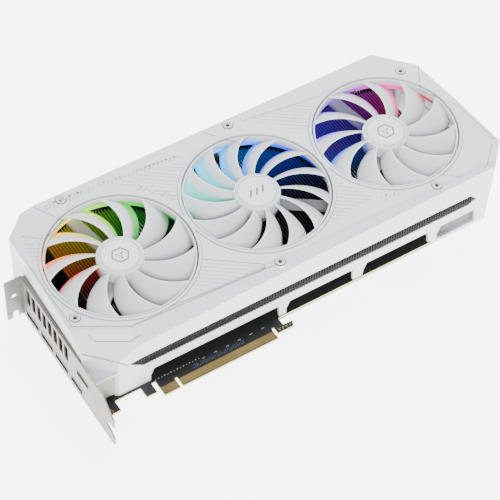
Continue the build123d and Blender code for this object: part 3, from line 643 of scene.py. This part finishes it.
def bladeRows(bm, style, sign, across, along):  # corners of the upper (1) or lower (-1) face
    start, end = fan["hub"] - fan["intoHub"], fan["ring"] - fan["intoRing"]
    rows = []
    for i in range(across + 1):
        r = start + (end - start) * i / across
        leading = style["hand"] * sweepOf(r)
        trailing = leading - style["hand"] * style["chord"]
        a = Vector((*around((0, 0), r, leading), fan["bladeHigh"]))
        b = Vector((*around((0, 0), r, trailing), fan["bladeLow"]))
        flat = (b - a).normalized()
        up = flat.cross(Vector((flat.y, -flat.x, 0)).normalized())
        if up.z < 0:
            up = -up
        row = []
        for j in range(along + 1):
            t = 0.5 - 0.5 * math.cos(math.pi * j / along)
            bow = fan["camber"] * 4 * t * (1 - t)
            body = fan["thick"] / 2 * math.sqrt(max(0.0, 1 - (2 * t - 1) ** 6))
            row.append(bm.verts.new((a.lerp(b, t) + up * (bow + sign * body)) * mm))
        rows.append(row)
    return rows


def bladeMesh(style, across=22, along=12):  # one swept blade, thick in the middle and thin at both edges
    bm = bmesh.new()
    upper, under = (bladeRows(bm, style, sign, across, along) for sign in (1, -1))
    for i in range(across):
        for j in range(along):
            bm.faces.new((upper[i][j], upper[i][j + 1], upper[i + 1][j + 1], upper[i + 1][j]))
            bm.faces.new((under[i + 1][j], under[i + 1][j + 1], under[i][j + 1], under[i][j]))
    for i in (0, across):
        for j in range(along):
            bm.faces.new((upper[i][j], upper[i][j + 1], under[i][j + 1], under[i][j]))
    bmesh.ops.remove_doubles(bm, verts=bm.verts, dist=1e-6)
    return bm


# light of each fan by angle, counter-clockwise from +X; black where the ring is dark
glow = {
    "left": [
        *((-60, "#000000"), (-20, "#000000"), (12, "#0B3D12"), (35, "#1F9A2A"), (60, "#35C92B")),
        *((85, "#9BE01E"), (105, "#F2EE1C"), (125, "#FFB908"), (145, "#FF8A1E"), (165, "#FF3A10")),
        *((185, "#6A1408"), (205, "#000000")),
    ],
    "middle": [
        *((-60, "#000000"), (-15, "#000000"), (5, "#10205E"), (25, "#1030C8"), (50, "#0A5CFF")),
        *((80, "#1C9CFF"), (105, "#35C8FF"), (130, "#58E8F0"), (155, "#49D9C4"), (175, "#123F38")),
        *((190, "#000000"), (230, "#000000")),
    ],
    "right": [
        *((-60, "#000000"), (-15, "#000000"), (10, "#4A0A12"), (30, "#C41430"), (55, "#E01C9C")),
        *((80, "#A818C0"), (105, "#6A20E0"), (130, "#5A2CFF"), (155, "#7A4CFF"), (175, "#1C78FF")),
        *((195, "#0A1A50"), (210, "#000000")),
    ],
}


def glowRamp(tree, place, which):  # a fan's light by angle, and the place measured from the fan's centre
    x, y = centreOf(which)
    middle = (x * mm, y * mm, 0)
    moved = addNode(tree, "ShaderNodeVectorMath", {0: place, 1: middle}, operation="SUBTRACT").outputs[0]
    startAngle = 270  # the gradient then starts at -Y, where every ring is dark
    turned = {0: moved, "Angle": math.radians(startAngle)}
    spun = addNode(tree, "ShaderNodeVectorRotate", turned, rotation_type="Z_AXIS").outputs[0]
    angle = addNode(tree, "ShaderNodeTexGradient", {0: spun}, gradient_type="RADIAL").outputs[1]
    stops = [((degrees + 360 - startAngle) % 360 / 360, srgb(colour)) for degrees, colour in glow[which]]
    return ramp(tree, angle, stops), moved


def bladeMaterial(which):
    # moulded PBT: white; the diodes' light from below is painted in as emission and a tint of the base colour,
    # where the blade dips towards them
    material, tree, shader, place = startMaterial("mouldedPbtPaintedGlow." + which)
    grain = noise(tree, place, 1.2, 3.0)
    light, moved = glowRamp(tree, place, which)
    height = addNode(tree, "ShaderNodeSeparateXYZ", {0: moved}).outputs[2]
    # painted light: emission and base-colour tint grow as the blade dips from 54.6 mm to 49.2 mm
    dark, full = 54.6 * mm, 49.2 * mm  # heights where the light starts to show and where it is full
    deep = addNode(tree, "ShaderNodeMapRange", {0: height, 1: dark, 2: full}, interpolation_type="SMOOTHSTEP")
    lit = blend(tree, deep.outputs[0], black, light)
    bright = addNode(tree, "ShaderNodeRGBToBW", {0: lit}).outputs[0]
    share = addNode(tree, "ShaderNodeMapRange", {0: bright, 1: 0.0, 2: 0.12, 3: 0.0, 4: 0.85}).outputs[0]
    sockets = {
        "Base Color": blend(tree, share, drift(tree, grain, "#D0D2D4", "#D7D9DB"), light),
        "Emission Color": lit,
        "Normal": relief(tree, grain, 0.015, 0.2),
        "Emission Strength": 0.75,
        "Roughness": 0.34,
    }
    fill(tree, shader, sockets)
    return material


def lightMaterial(which):
    # frosted light guide over a ring of diodes
    material, tree, shader, place = startMaterial("frostedLightGuide." + which)
    light = glowRamp(tree, place, which)[0]
    rough = addNode(tree, "ShaderNodeMapRange", {0: noise(tree, place, 1.5), 3: 0.4, 4: 0.6}).outputs[0]
    sockets = {"Base Color": light, "Emission Color": light, "Roughness": rough, "Emission Strength": 1.8}
    fill(tree, shader, sockets)
    return material


def finMaterial():
    # thin aluminium sheet, dark coated, lighter grey along each fin's top edge; the diodes' light on the upper
    # part of each fin is painted in as emission
    material, tree, shader, place = startMaterial("coatedFinAluminiumPaintedGlow")
    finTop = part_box("fin_stack_front")[1].z
    topEdgeFrom, topEdgeFull, paintedGlowDepth = 0.35 * mm, 0.1 * mm, 5 * mm
    hubReach, ringReach, wellReach = 12 * mm, 49 * mm, 50.5 * mm
    height = addNode(tree, "ShaderNodeSeparateXYZ", {0: place}).outputs[2]
    # lighter grey over the top few tenths of a millimetre of each fin
    topEdgeSpan = {0: height, 1: finTop - topEdgeFrom, 2: finTop - topEdgeFull}
    edge = addNode(tree, "ShaderNodeMapRange", topEdgeSpan).outputs[0]
    grain = noise(tree, place, 0.8, 3.0)
    # painted light: the diodes' colours are painted as emission onto the top 5 mm of each fin, stronger
    # towards each fan's ring
    near = addNode(tree, "ShaderNodeMapRange", {0: height, 1: finTop - paintedGlowDepth, 2: finTop}).outputs[0]
    total = black
    for which in fanPlaces:
        light, moved = glowRamp(tree, place, which)
        level = {0: moved, 1: (1, 1, 0)}
        flat = addNode(tree, "ShaderNodeVectorMath", level, operation="MULTIPLY").outputs[0]
        away = addNode(tree, "ShaderNodeVectorMath", {0: flat}, operation="LENGTH").outputs[1]
        growth = {0: away, 1: hubReach, 2: ringReach, 3: 0.25, 4: 1.0}
        outward = addNode(tree, "ShaderNodeMapRange", growth).outputs[0]
        share = mathNode(tree, "MULTIPLY", outward, mathNode(tree, "LESS_THAN", away, wellReach))
        total = blend(tree, 1.0, total, blend(tree, share, black, light), "ADD")
    sockets = {
        "Base Color": blend(tree, edge, drift(tree, grain, "#141517", "#202123"), srgb("#5E6063")),
        "Emission Color": blend(tree, near, black, total),
        "Normal": relief(tree, grain, 0.02, 0.3),
        "Metallic": 0.85,
        "Roughness": 0.42,
        "Emission Strength": 0.3,
    }
    fill(tree, shader, sockets)
    return material


coatedFin = finMaterial()
for name in ("fin_stack_front", "fin_stack_rear"):
    nodes[name].data.materials.clear()
    nodes[name].data.materials.append(coatedFin)


def roundedLoop(inner, outer, low, high, soft, steps=4):  # rounded rectangle in (radius, height)
    corners = [(outer - soft, low + soft, -90), (outer - soft, high - soft, 0)]
    corners += [(inner + soft, high - soft, 90), (inner + soft, low + soft, 180)]
    return [around((r, z), soft, start + 90 * i / steps) for r, z, start in corners for i in range(steps + 1)]


def bladeRing(which, lit):  # all the blades of one rotor
    style = fanPlaces[which]
    x, y = centreOf(which)
    values = {
        "Count": style["blades"],
        "Turn": 2 * math.pi / style["blades"],
        "Start": (x * mm, y * mm, 0),
        "First Turn": math.radians(style["phase"]),
        "Material": lit,
    }
    seed = newPiece("bladeSeed", bladeMesh(style), lit, smoothAngle=60)
    return plainMesh(seed, "blades." + which, roundCopies, values)


def hubAndRing(which, lit):  # outer ring and the hub's shell, rounded at its top edge and sunk under the cap
    bm = bmesh.new()
    centre = centreOf(which)
    ring = (fan["ring"] - fan["ringWall"], fan["ring"], fan["ringLow"], fan["ringHigh"], fan["ringSoft"])
    lathe(bm, centre, roundedLoop(*ring), 144)
    hub, top, bottom = fan["hub"], fan["top"], fan["bottom"]
    edge = [(hub, bottom), (hub, top - 1.0), (hub - 0.12, top - 0.45)]
    edge += [(hub - 0.45, top - 0.12), (hub - 1.0, top)]
    rim = [(fan["cap"] + 0.16, top - 0.05), (fan["cap"] + 0.12, top - 0.8)]
    web = [(fan["bore"], top - 0.8), (fan["bore"], top - 1.8)]
    skirt = [(hub - fan["hubWall"], top - 1.8), (hub - fan["hubWall"], bottom)]
    lathe(bm, centre, edge + rim + web + skirt)
    return newPiece("hubAndRing." + which, bm, lit, smoothAngle=35)


def hubCap(which):  # flat cap with a shallow groove near its rim
    bm = bmesh.new()
    rim, capTop, under = fan["cap"], fan["capTop"], fan["top"] - 0.75
    side = [(0, under), (rim, under), (rim, capTop - 0.35), (rim - 0.1, capTop - 0.1), (rim - 0.35, capTop)]
    groove = [(rim - 1.2, capTop), (rim - 1.25, capTop - 0.25), (rim - 1.65, capTop - 0.25)]
    disc(bm, centreOf(which), side + groove + [(rim - 1.7, capTop - 0.02), (0, capTop - 0.02)])
    return newPiece("hubCap." + which, bm, whitePbt, smoothAngle=35)


def hubBadge(which):  # silver inlay in the cap's groove, with three slanted bars or a hexagon and spokes
    bm = bmesh.new()
    centre, capTop = centreOf(which), fan["capTop"]
    outer, inner = (fan["cap"] - inset for inset in badgeLook["inlay"])
    low, high = capTop + badgeLook["low"], capTop + badgeLook["high"]
    inlayLow, inlayHigh = (capTop - depth for depth in badgeLook["inlayDepth"])
    lathe(bm, centre, [(inner, inlayLow), (outer, inlayLow), (outer, inlayHigh), (inner, inlayHigh)])
    if which == "middle":
        reach, foot, half = badgeLook["barReach"], badgeLook["barFoot"], badgeLook["barHalf"]
        for k in (-1, 0, 1):
            x, y = centre[0] + badgeLook["barPitch"] * k, centre[1]
            lower = [(x - reach, y - half), (x - foot, y - half)]
            upper = [(x + reach, y + half), (x + foot, y + half)]
            slab(bm, lower + upper, low, high)
    else:
        for k in range(6):
            sides = [(badgeLook["hexagon"][n], 60 * (k + m)) for n, m in ((0, 0), (0, 1), (1, 1), (1, 0))]
            slab(bm, [around(centre, radius, angle) for radius, angle in sides], low, high)
        for angle in (30, 150, 270):
            way = Vector(around((0, 0), 1, angle))
            side = Vector((-way.y, way.x))
            start, end = (Vector(centre) + way * reach for reach in badgeLook["spoke"])
            wide, narrow = (side * half for half in badgeLook["spokeHalf"])
            slab(bm, [tuple(p) for p in (start - wide, end - narrow, end + narrow, start + wide)], low, high)
    return newPiece("hubBadge." + which, bm, foilSilver, smoothAngle=35)


for which in fanPlaces:
    lit = bladeMaterial(which)
    rotor = joinInto("fanRotor." + which, [bladeRing(which, lit), hubAndRing(which, lit)])
    rotor.data.materials.clear()
    rotor.data.materials.append(lit)
    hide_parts("rotor_" + which)
    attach(rotor, "fan_" + which)
    cap = hubCap(which)
    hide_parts("hub_cap_" + which)
    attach(cap, "fan_" + which)
    badge = hubBadge(which)
    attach(badge, "fan_" + which)
    bm = bmesh.new()
    lathe(bm, centreOf(which), roundedLoop(*guide.values(), steps=2), 144)
    guideRing = newPiece("lightGuide." + which, bm, lightMaterial(which))
    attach(guideRing, "card")
print("fans built")


sunk = 0.02  # how far raised lines reach into the face below them


def ribbon(bm, points, facing, width, rise):  # thin raised line along points on a flat face
    up = Vector(facing).normalized()
    for a, b in zip(points, points[1:]):
        a, b = Vector(a), Vector(b)
        way = (b - a).normalized()
        side = way.cross(up).normalized() * width / 2
        a, b = a - way * width / 2, b + way * width / 2
        corners = [a - side, b - side, b + side, a + side]
        prism(bm, *([bm.verts.new((c + up * level) * mm) for c in corners] for level in (-sunk, rise)))


def ribs(outline, way, gap, width, height, z):  # straight lines clipped to an outline, as bars
    turn = math.atan2(way[1], way[0])
    along = Vector((math.cos(turn), math.sin(turn)))
    across = Vector((-along.y, along.x))
    corners = [Vector(p) for p in outline]
    offsets = [c.dot(across) for c in corners]
    shortest = 2.0
    found = []
    place = min(offsets) + gap / 2
    while place < max(offsets):
        hits = []
        for a, b in zip(corners, corners[1:] + corners[:1]):
            da, db = a.dot(across) - place, b.dot(across) - place
            if da * db < 0:
                hits.append((a + (b - a) * da / (da - db)).dot(along))
        hits.sort()
        for start, end in zip(hits[::2], hits[1::2]):
            if end - start > shortest:
                middle = along * (start + end) / 2 + across * place
                found.append(((middle.x, middle.y, z), (end - start, width, height), turn))
        place += gap
    return found


def clearOfFans(x, y, reach):
    return all(math.hypot(x - c[0], y - c[1]) > reach for c in map(centreOf, fanPlaces))


shroudLook = {
    "lineWidth": 0.42,
    "lineRise": 0.03,
    "bezelRing": (51.5, 51.86),
    "cornerRise": 0.16,
    "seamHeight": 28.4,
    "seamWidth": 0.5,
    "seamRise": 0.02,
    "creaseWidth": 0.7,
    "creaseRise": 0.05,
    "barFrameWidth": 0.4,
    "ribGap": 3.0,
    "ribWidth": 0.36,
    "ribHeight": 0.08,
    "ribWay": (0.8, -0.6),
    "ribClear": 50.0,
}
# moulded lines on the front face
foldLines = [
    [(-7.4, 61.8), (9.6, 38.7), (18.9, 41.0)],
    [(21.5, 55.9), (78.6, 47.8), (84.9, 49.5)],
    [(-151.4, 43.6), (-139.5, 34.1), (-122.6, 41.9), (-133.6, 61.0)],
    [(-158.0, 18.6), (-158.9, -1.3), (-158.2, -34.6), (-127.4, -52.9), (-26.0, -58.6)],
    [(-106.8, -51.9), (-33.0, -57.6), (-31.4, -54.6), (-64.4, -29.8)],
    [(110.5, -48.4), (108.6, -51.0), (118.9, -60.6)],
    [(154.0, -47.9), (140.0, -60.4)],
    [(154.0, 37.1), (141.4, 17.2), (155.3, -7.3), (158.0, -44.5)],
]
# fields of fine slanted ribs between the fans
ribFields = [
    [(-80.1, 51.9), (-31.2, 46.5), (-32.5, 39.6), (-44.6, 24.4), (-50.4, 13.1), (-63.9, 34.7)],
    [(-63.8, -30.2), (-31.2, -54.8), (-32.8, -57.3), (-67.6, -53.4), (-83.2, -51.0), (-71.8, -40.5)],
    [(21.5, 54.9), (78.6, 46.8), (68.4, 36.4), (55.8, 24.2)],
    [(45.3, -18.2), (60.1, -45.7), (40.1, -46.1), (15.6, -50.7), (29.0, -39.4)],
    [(-151.2, 42.3), (-146.9, 30.3), (-153.4, 13.3), (-154.6, 32.6)],
]
# outline of the panel on the cut-off corner, and creases below it
cornerPanel = [(-152.0, -43.4, 54.3), (-149.8, -48.0, 51.4), (-131.4, -58.9, 51.1), (-124.7, -59.6, 53.9)]
creases = [
    ([(-160.2, -49.25, 47.1), (-142.7, -62.95, 41.7)], (-0.616, -0.788, 0)),
    ([(-142.6, -63.0, 41.7), (-135.6, -63.0, 33.8)], (0, -1, 0)),
]
# plan of the walls at the far end and the back, where the shroud meets the frame
wallCorners = [
    *((145.5, -63.0), (161.0, -46.8), (158.0, -1.4), (154.0, 39.0)),
    *((132.0, 63.0), (-133.0, 63.0), (-143.5, 61.2), (-150.5, 54.2)),
]
backWall = 63.0

# painted shade: these dark ribbons stand in for the shadow in the moulded lines, round the fan bezels, along
# the seam, on the corner panel, along the creases and round the light bar
bm = bmesh.new()
lineWidth, lineRise = shroudLook["lineWidth"], shroudLook["lineRise"]
for line in foldLines:
    ribbon(bm, [(x, y, deckZ) for x, y in line], (0, 0, 1), lineWidth, lineRise)
for which in fanPlaces:
    inner, outer = shroudLook["bezelRing"]
    low, high = deckZ - sunk, deckZ + lineRise
    lathe(bm, centreOf(which), [(inner, low), (outer, low), (outer, high), (inner, high)], 144)
edgeA, edgeB = (Vector(cornerPanel[k]) - Vector(cornerPanel[1]) for k in (0, 2))
cornerFacing = edgeB.cross(edgeA)
outward = cornerFacing if cornerFacing.z > 0 else -cornerFacing
ribbon(bm, cornerPanel, outward, lineWidth, shroudLook["cornerRise"])
for a, b in zip(wallCorners, wallCorners[1:]):
    seam = [(x, y, shroudLook["seamHeight"]) for x, y in (a, b)]
    ribbon(bm, seam, (b[1] - a[1], a[0] - b[0], 0), shroudLook["seamWidth"], shroudLook["seamRise"])
for points, facing in creases:
    ribbon(bm, points, facing, shroudLook["creaseWidth"], shroudLook["creaseRise"])
# shallow slanted frame moulded round the light bar, and two bent lines beside it
barLow, barHigh = (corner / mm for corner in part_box("light_bar"))
frameGap, frameLean = 3, 4
frameLow, frameHigh = barLow.z - frameGap, barHigh.z + frameGap
frameCorners = [(barLow.x - frameLean, frameLow), (barLow.x, frameHigh), (barHigh.x + frameLean, frameHigh)]
frameCorners += [(barHigh.x, frameLow), frameCorners[0]]
backLines = [frameCorners]
bent = {"starts": (20.0, 27.0), "top": 52.0, "low": 40.0, "slant": 12.0, "reach": 60.0}
for x in bent["starts"]:
    backLines.append([(x, bent["top"]), (x + bent["slant"], bent["low"]), (x + bent["reach"], bent["low"])])
for line in backLines:
    ribbon(bm, [(x, backWall, z) for x, z in line], (0, 1, 0), shroudLook["barFrameWidth"], lineRise)
lines = newPiece("shroudGrooveShadeLines", bm, grooveGrey, smoothAngle=0)
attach(lines, "card")

spots = []
for field in ribFields:
    spots += ribs(field, *(shroudLook[key] for key in ("ribWay", "ribGap", "ribWidth", "ribHeight")), deckZ)
spots = [spot for spot in spots if clearOfFans(*spot[0][:2], shroudLook["ribClear"])]
ribPiece = bars("shroudRibs", ribShade, spots)
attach(ribPiece, "card")

# bands of plain slanted strokes, printed in a grey just darker than the shroud
printLook = {
    "lean": 62,
    "lengths": (0.5, 0.75, 1.0),
    "widths": (0.9, 1.3, 1.7),
    "thick": 0.03,
    "foot": (2.4, 0.9),
    "footChance": 0.5,
    "footShift": (0.7, 0.3),
    "clear": 53.2,
}
# each band's start, end, stroke height and count
bands = [
    ((-128.0, 56.8), (-92.0, 54.6), 5.6, 13),
    ((-90.0, 55.2), (-30.0, 49.9), 4.6, 20),
    ((-68.0, 40.5), (-49.0, 19.0), 5.6, 9),
    ((62.0, -48.6), (104.0, -53.0), 5.4, 14),
]
order = random.Random(11)
spots = []
for start, end, height, count in bands:
    a, b = Vector(start), Vector(end)
    level = math.atan2(b.y - a.y, b.x - a.x)
    for i in range(count):
        x, y = a.lerp(b, (i + 0.5) / count)
        long = height * order.choice(printLook["lengths"])
        stroke = (long, order.choice(printLook["widths"]), printLook["thick"])
        spots.append(((x, y, deckZ), stroke, level + math.radians(printLook["lean"])))
        if order.random() < printLook["footChance"]:
            aside, share = printLook["footShift"]
            foot = (*printLook["foot"], printLook["thick"])
            spots.append(((x + aside, y + height * share, deckZ), foot, level))
spots = [spot for spot in spots if clearOfFans(*spot[0][:2], printLook["clear"])]
prints = bars("shroudPrint", printGrey, spots)
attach(prints, "card")

# each shroud screw sits in a raised collar: a painted shadow round it, and painted shade for the dark socket
# in its head
screwLook = {
    "collar": 3.3,
    "shadow": 0.5,
    "overlap": 0.06,
    "shadowRise": (0.04, 0.36),
    "socket": 1.45,
    "socketSpan": (-0.1, 0.03),
}
screwPlaces = [(-115.4, 57.3), (11.3, 57.3), (140.3, 39.1), (-153.5, -29.7), (-21.5, -57.7), (100.9, -57.7)]
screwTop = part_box("shroud_screws")[1].z / mm
bm = bmesh.new()
for place in screwPlaces:
    inner, outer = screwLook["collar"] - screwLook["overlap"], screwLook["collar"] + screwLook["shadow"]
    outerTop, innerTop = (deckZ + rise for rise in screwLook["shadowRise"])
    lathe(bm, place, [(inner, deckZ - sunk), (outer, deckZ - sunk), (outer, outerTop), (inner, innerTop)], 32)
    r = screwLook["socket"]
    low, high = (screwTop + rise for rise in screwLook["socketSpan"])
    disc(bm, place, [(0, low), (r, low), (r, high), (0, high)], 6)
sockets = newPiece("screwShadowsAndSockets", bm, recessShadeBlack, smoothAngle=0)
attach(sockets, "card")
print("shroud dressed")

# the exhaust slot: upright fin edges linked by folded tabs, with a near-black block between and behind them as
# painted shade for the slot's shadowed depth
slotLook = {
    "left": -134.0,
    "right": 132.0,
    "low": 25.15,
    "high": 34.75,
    "middle": 28.4,
    "pitch": 2.0,
    "front": -62.45,
    "back": -59.95,
    "finThick": 0.5,
    "shortest": 1.2,
    "shadeInset": 0.55,
    "tips": (-135.5, 134.8),
    "leftHeights": (33.7, 33.5),
    "leftSlopes": (-0.77, 0.13),
    "rightSlopes": (-0.47, 0.94),
    "tab": (1.5, 0.9, 0.45),
    "tabMiddle": (0.75, 0.5),
    "tabLevels": (26.4, 28.8),
    "tabShifts": (-0.1, 0.5),
    "tabMargin": 0.4,
}


def slotSpan(x):  # lowest and highest point of the slot there; its ends are slanted
    fromLeft, fromRight = x - slotLook["tips"][0], slotLook["tips"][1] - x
    leftEnd = [at + fromLeft * slope for at, slope in zip(slotLook["leftHeights"], slotLook["leftSlopes"])]
    rightEnd = [slotLook["middle"] + fromRight * slope for slope in slotLook["rightSlopes"]]
    return max(slotLook["low"], leftEnd[0], rightEnd[0]), min(slotLook["high"], leftEnd[1], rightEnd[1])


fins, tabs = [], []
front, back, pitch = slotLook["front"], slotLook["back"], slotLook["pitch"]
for i in range(int((slotLook["right"] - slotLook["left"]) / pitch)):
    x = slotLook["left"] + pitch * i
    low, high = slotSpan(x)
    if high - low < slotLook["shortest"]:
        continue
    size = (slotLook["finThick"], back - front, high - low)
    fins.append(((x, (back + front) / 2, (low + high) / 2), size, 0))
    tabX, tabY = x + slotLook["tabMiddle"][0], front + slotLook["tabMiddle"][1]
    for level in slotLook["tabLevels"]:
        if low + slotLook["tabMargin"] < level < high - slotLook["tabMargin"]:
            tabs.append(((tabX, tabY, level + slotLook["tabShifts"][i % 2]), slotLook["tab"], 0))
slotOutline = [(-124.3, 25.12), (127.7, 25.12), (134.5, 28.4), (127.9, 34.7), (-127.0, 34.7), (-134.9, 33.6)]
# painted shade: a near-black block fills the slot between the fins, from just behind their front edges to the
# back
slotDepth = (front + slotLook["shadeInset"], back)
bm = bmesh.new()
near, far = ([bm.verts.new((x * mm, y * mm, z * mm)) for x, z in slotOutline] for y in slotDepth)
prism(bm, near, far)
slotShadeBlock = newPiece("slotShade", bm, finEdgeAndSlotShade, smoothAngle=0)
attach(slotShadeBlock, "card")
finEdges = bars("slotFinEdges", finEdgeAndSlotShade, fins)
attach(finEdges, "card")
finTabs = bars("slotFinTabs", finTabBronze, tabs)
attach(finTabs, "card")
print("exhaust slot filled:", len(fins), "fins")

# small parts and print on the board's bare strip
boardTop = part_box("pcb")[1].z / mm
inkTop = boardTop + 0.01
inkThick = 0.03
boardLook = {
    "chip": {"first": (-91.0, -68.4), "pitch": 1.5, "count": 26, "size": (0.6, 0.9, 0.2), "stagger": 0.35},
    "upperChip": {"shift": (0.2, 1.9), "size": (0.5, 0.6, 0.2)},
    "endChip": {"first": (112.0, -61.0), "pitch": (-2.1, 1.3), "lag": -0.4, "size": (0.9, 0.5, 0.4)},
    "tick": {"first": (-117.0, -64.0), "pitch": 2.3, "count": 15, "heights": (0.3, 0.55)},
    "tickStroke": {"long": 0.8, "lean": 0.2},
    "dash": {"first": (-82.0, -65.0), "pitch": 9.0, "count": 6, "size": (2.2, 0.3, inkThick)},
    "pad": {"along": (47.0, 49.6, 108.0, 111.2, 114.0), "y": -62.2, "size": (0.8, 1.4, inkThick)},
    "hook": {"first": (-28.2, -71.5), "pitch": 2.7, "count": 4, "size": (0.55, 2.0, inkThick), "lean": 0.35},
    "hookBar": {"shift": (1.0, 0.8), "size": (1.2, 0.35, inkThick)},
}
chips, silk, gold = [], [], []
chip, upper = boardLook["chip"], boardLook["upperChip"]
for i in range(chip["count"]):
    x, y = chip["first"][0] + chip["pitch"] * i, chip["first"][1]
    chips.append(((x, y + chip["stagger"] * (i % 3), boardTop + chip["size"][2] / 2), chip["size"], 0))
    if i % 4 != 3:
        place = (x + upper["shift"][0], y + upper["shift"][1], boardTop + upper["size"][2] / 2)
        chips.append((place, upper["size"], 0))
tick, stroke, dash = (boardLook[key] for key in ("tick", "tickStroke", "dash"))
for i in range(tick["count"]):
    x, y = tick["first"][0] + tick["pitch"] * i, tick["first"][1] + tick["heights"][0] * (i % 2)
    silk.append(((x, y, inkTop), (stroke["long"], tick["heights"][i % 2], inkThick), stroke["lean"] * (i % 3)))
for i in range(dash["count"]):
    silk.append(((dash["first"][0] + dash["pitch"] * i, dash["first"][1], inkTop), dash["size"], 0))
pad = boardLook["pad"]
for x in pad["along"]:
    gold.append(((x, pad["y"], inkTop), pad["size"], stroke["lean"]))
end = boardLook["endChip"]
for row in range(2):
    for column in range(6):
        x = end["first"][0] + end["pitch"][0] * column + end["lag"] * row
        y = end["first"][1] + end["pitch"][1] * row
        chips.append(((x, y, boardTop + end["size"][2] / 2), end["size"], 0))
hook, bar = boardLook["hook"], boardLook["hookBar"]
for i in range(hook["count"]):
    x, y = hook["first"][0] + hook["pitch"] * i, hook["first"][1]
    gold.append(((x, y, inkTop), hook["size"], -hook["lean"] if i % 2 else hook["lean"]))
    gold.append(((x + bar["shift"][0], y + bar["shift"][1], inkTop), bar["size"], 0))
for name, material, row in (
    ("boardChips", chipCeramic, chips),
    ("boardPrint", silkWhite, silk),
    ("boardGoldMark", edgeGold, gold),
):
    piece = bars(name, material, row)
    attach(piece, "card")
padLook = {"places": ((-153.2, -54.6), (-154.0, -70.4)), "hole": 1.5, "outer": 2.6, "rise": 0.05}
bm = bmesh.new()
for place in padLook["places"]:
    hole, outer, padTop = padLook["hole"], padLook["outer"], boardTop + padLook["rise"]
    lathe(bm, place, [(hole, boardTop), (outer, boardTop), (outer, padTop), (hole, padTop)], 40)
pads = newPiece("groundPads", bm, bareCopper, smoothAngle=0)
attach(pads, "card")
# painted shade: a thin black mark standing in for the dark inside of a slot in the left wall
wallSlot = {"middle": (-159.42, 22.6, 52.0), "size": (6.6, 0.1, 1.1), "turn": math.radians(88.7)}
slotMark = bars("leftWallSlot", recessShadeBlack, [tuple(wallSlot.values())])
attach(slotMark, "card")
print("board dressed")

view = {
    "place": (-444.385, -633.787, 968.269),
    "right": (0.84348131, -0.53623186, 0.03153827),
    "down": (-0.40413227, -0.67217804, -0.62036585),
    "ahead": (0.35385927, 0.51052137, -0.78367822),
    "lens": 132.13,
}
camera = bpy.data.cameras.new("camera")
camera.sensor_width = 36
camera.lens = view["lens"]
camera.clip_start, camera.clip_end = 0.05, 20
cameraPiece = linked("camera", camera)
right, down, ahead = (Vector(view[k]) for k in ("right", "down", "ahead"))
turned = Matrix((right, -down, -ahead)).transposed().to_4x4()
cameraPiece.matrix_world = Matrix.Translation(Vector(view["place"]) * mm) @ turned
bpy.context.scene.camera = cameraPiece

world = bpy.data.worlds.new("paleRoom")
world.use_nodes = True
world.node_tree.nodes["Background"].inputs[0].default_value = srgb("#F4F6F8")
world.node_tree.nodes["Background"].inputs[1].default_value = 0.8
bpy.context.scene.world = world


def softLight(name, place, aim, size, power):
    lamp = bpy.data.lights.new(name, "AREA")
    lamp.shape = "RECTANGLE"
    lamp.size, lamp.size_y = size
    lamp.energy = power
    piece = linked(name, lamp)
    piece.location = place
    piece.rotation_euler = (Vector(aim) - Vector(place)).to_track_quat("-Z", "Y").to_euler()


softLight("keySoftbox", (0.55, 0.75, 1.15), (0, 0, 0), (0.9, 0.7), 34)
softLight("frontSoftbox", (-0.5, -1.15, 0.95), (0, 0, 0.02), (1.0, 0.8), 34)

# a sheet of paper lit evenly from below
paperHalf, paperThick = 4000, 5.0
bm = bmesh.new()
corners = [(-paperHalf, -paperHalf), (paperHalf, -paperHalf), (paperHalf, paperHalf), (-paperHalf, paperHalf)]
slab(bm, corners, -paperThick, 0.0)
paper = {"grain": 2.0, "dark": "#F6F7F8", "light": "#F8F9FA", "rough": (0.8, 0.9), "depth": 0.01}
paper["sockets"] = {"Emission Color": srgb("#FFFFFF"), "Emission Strength": 4.6}
floor = newPiece("floor", bm, surface("backlitWhitePaper", paper))
print("camera, lights and floor set")
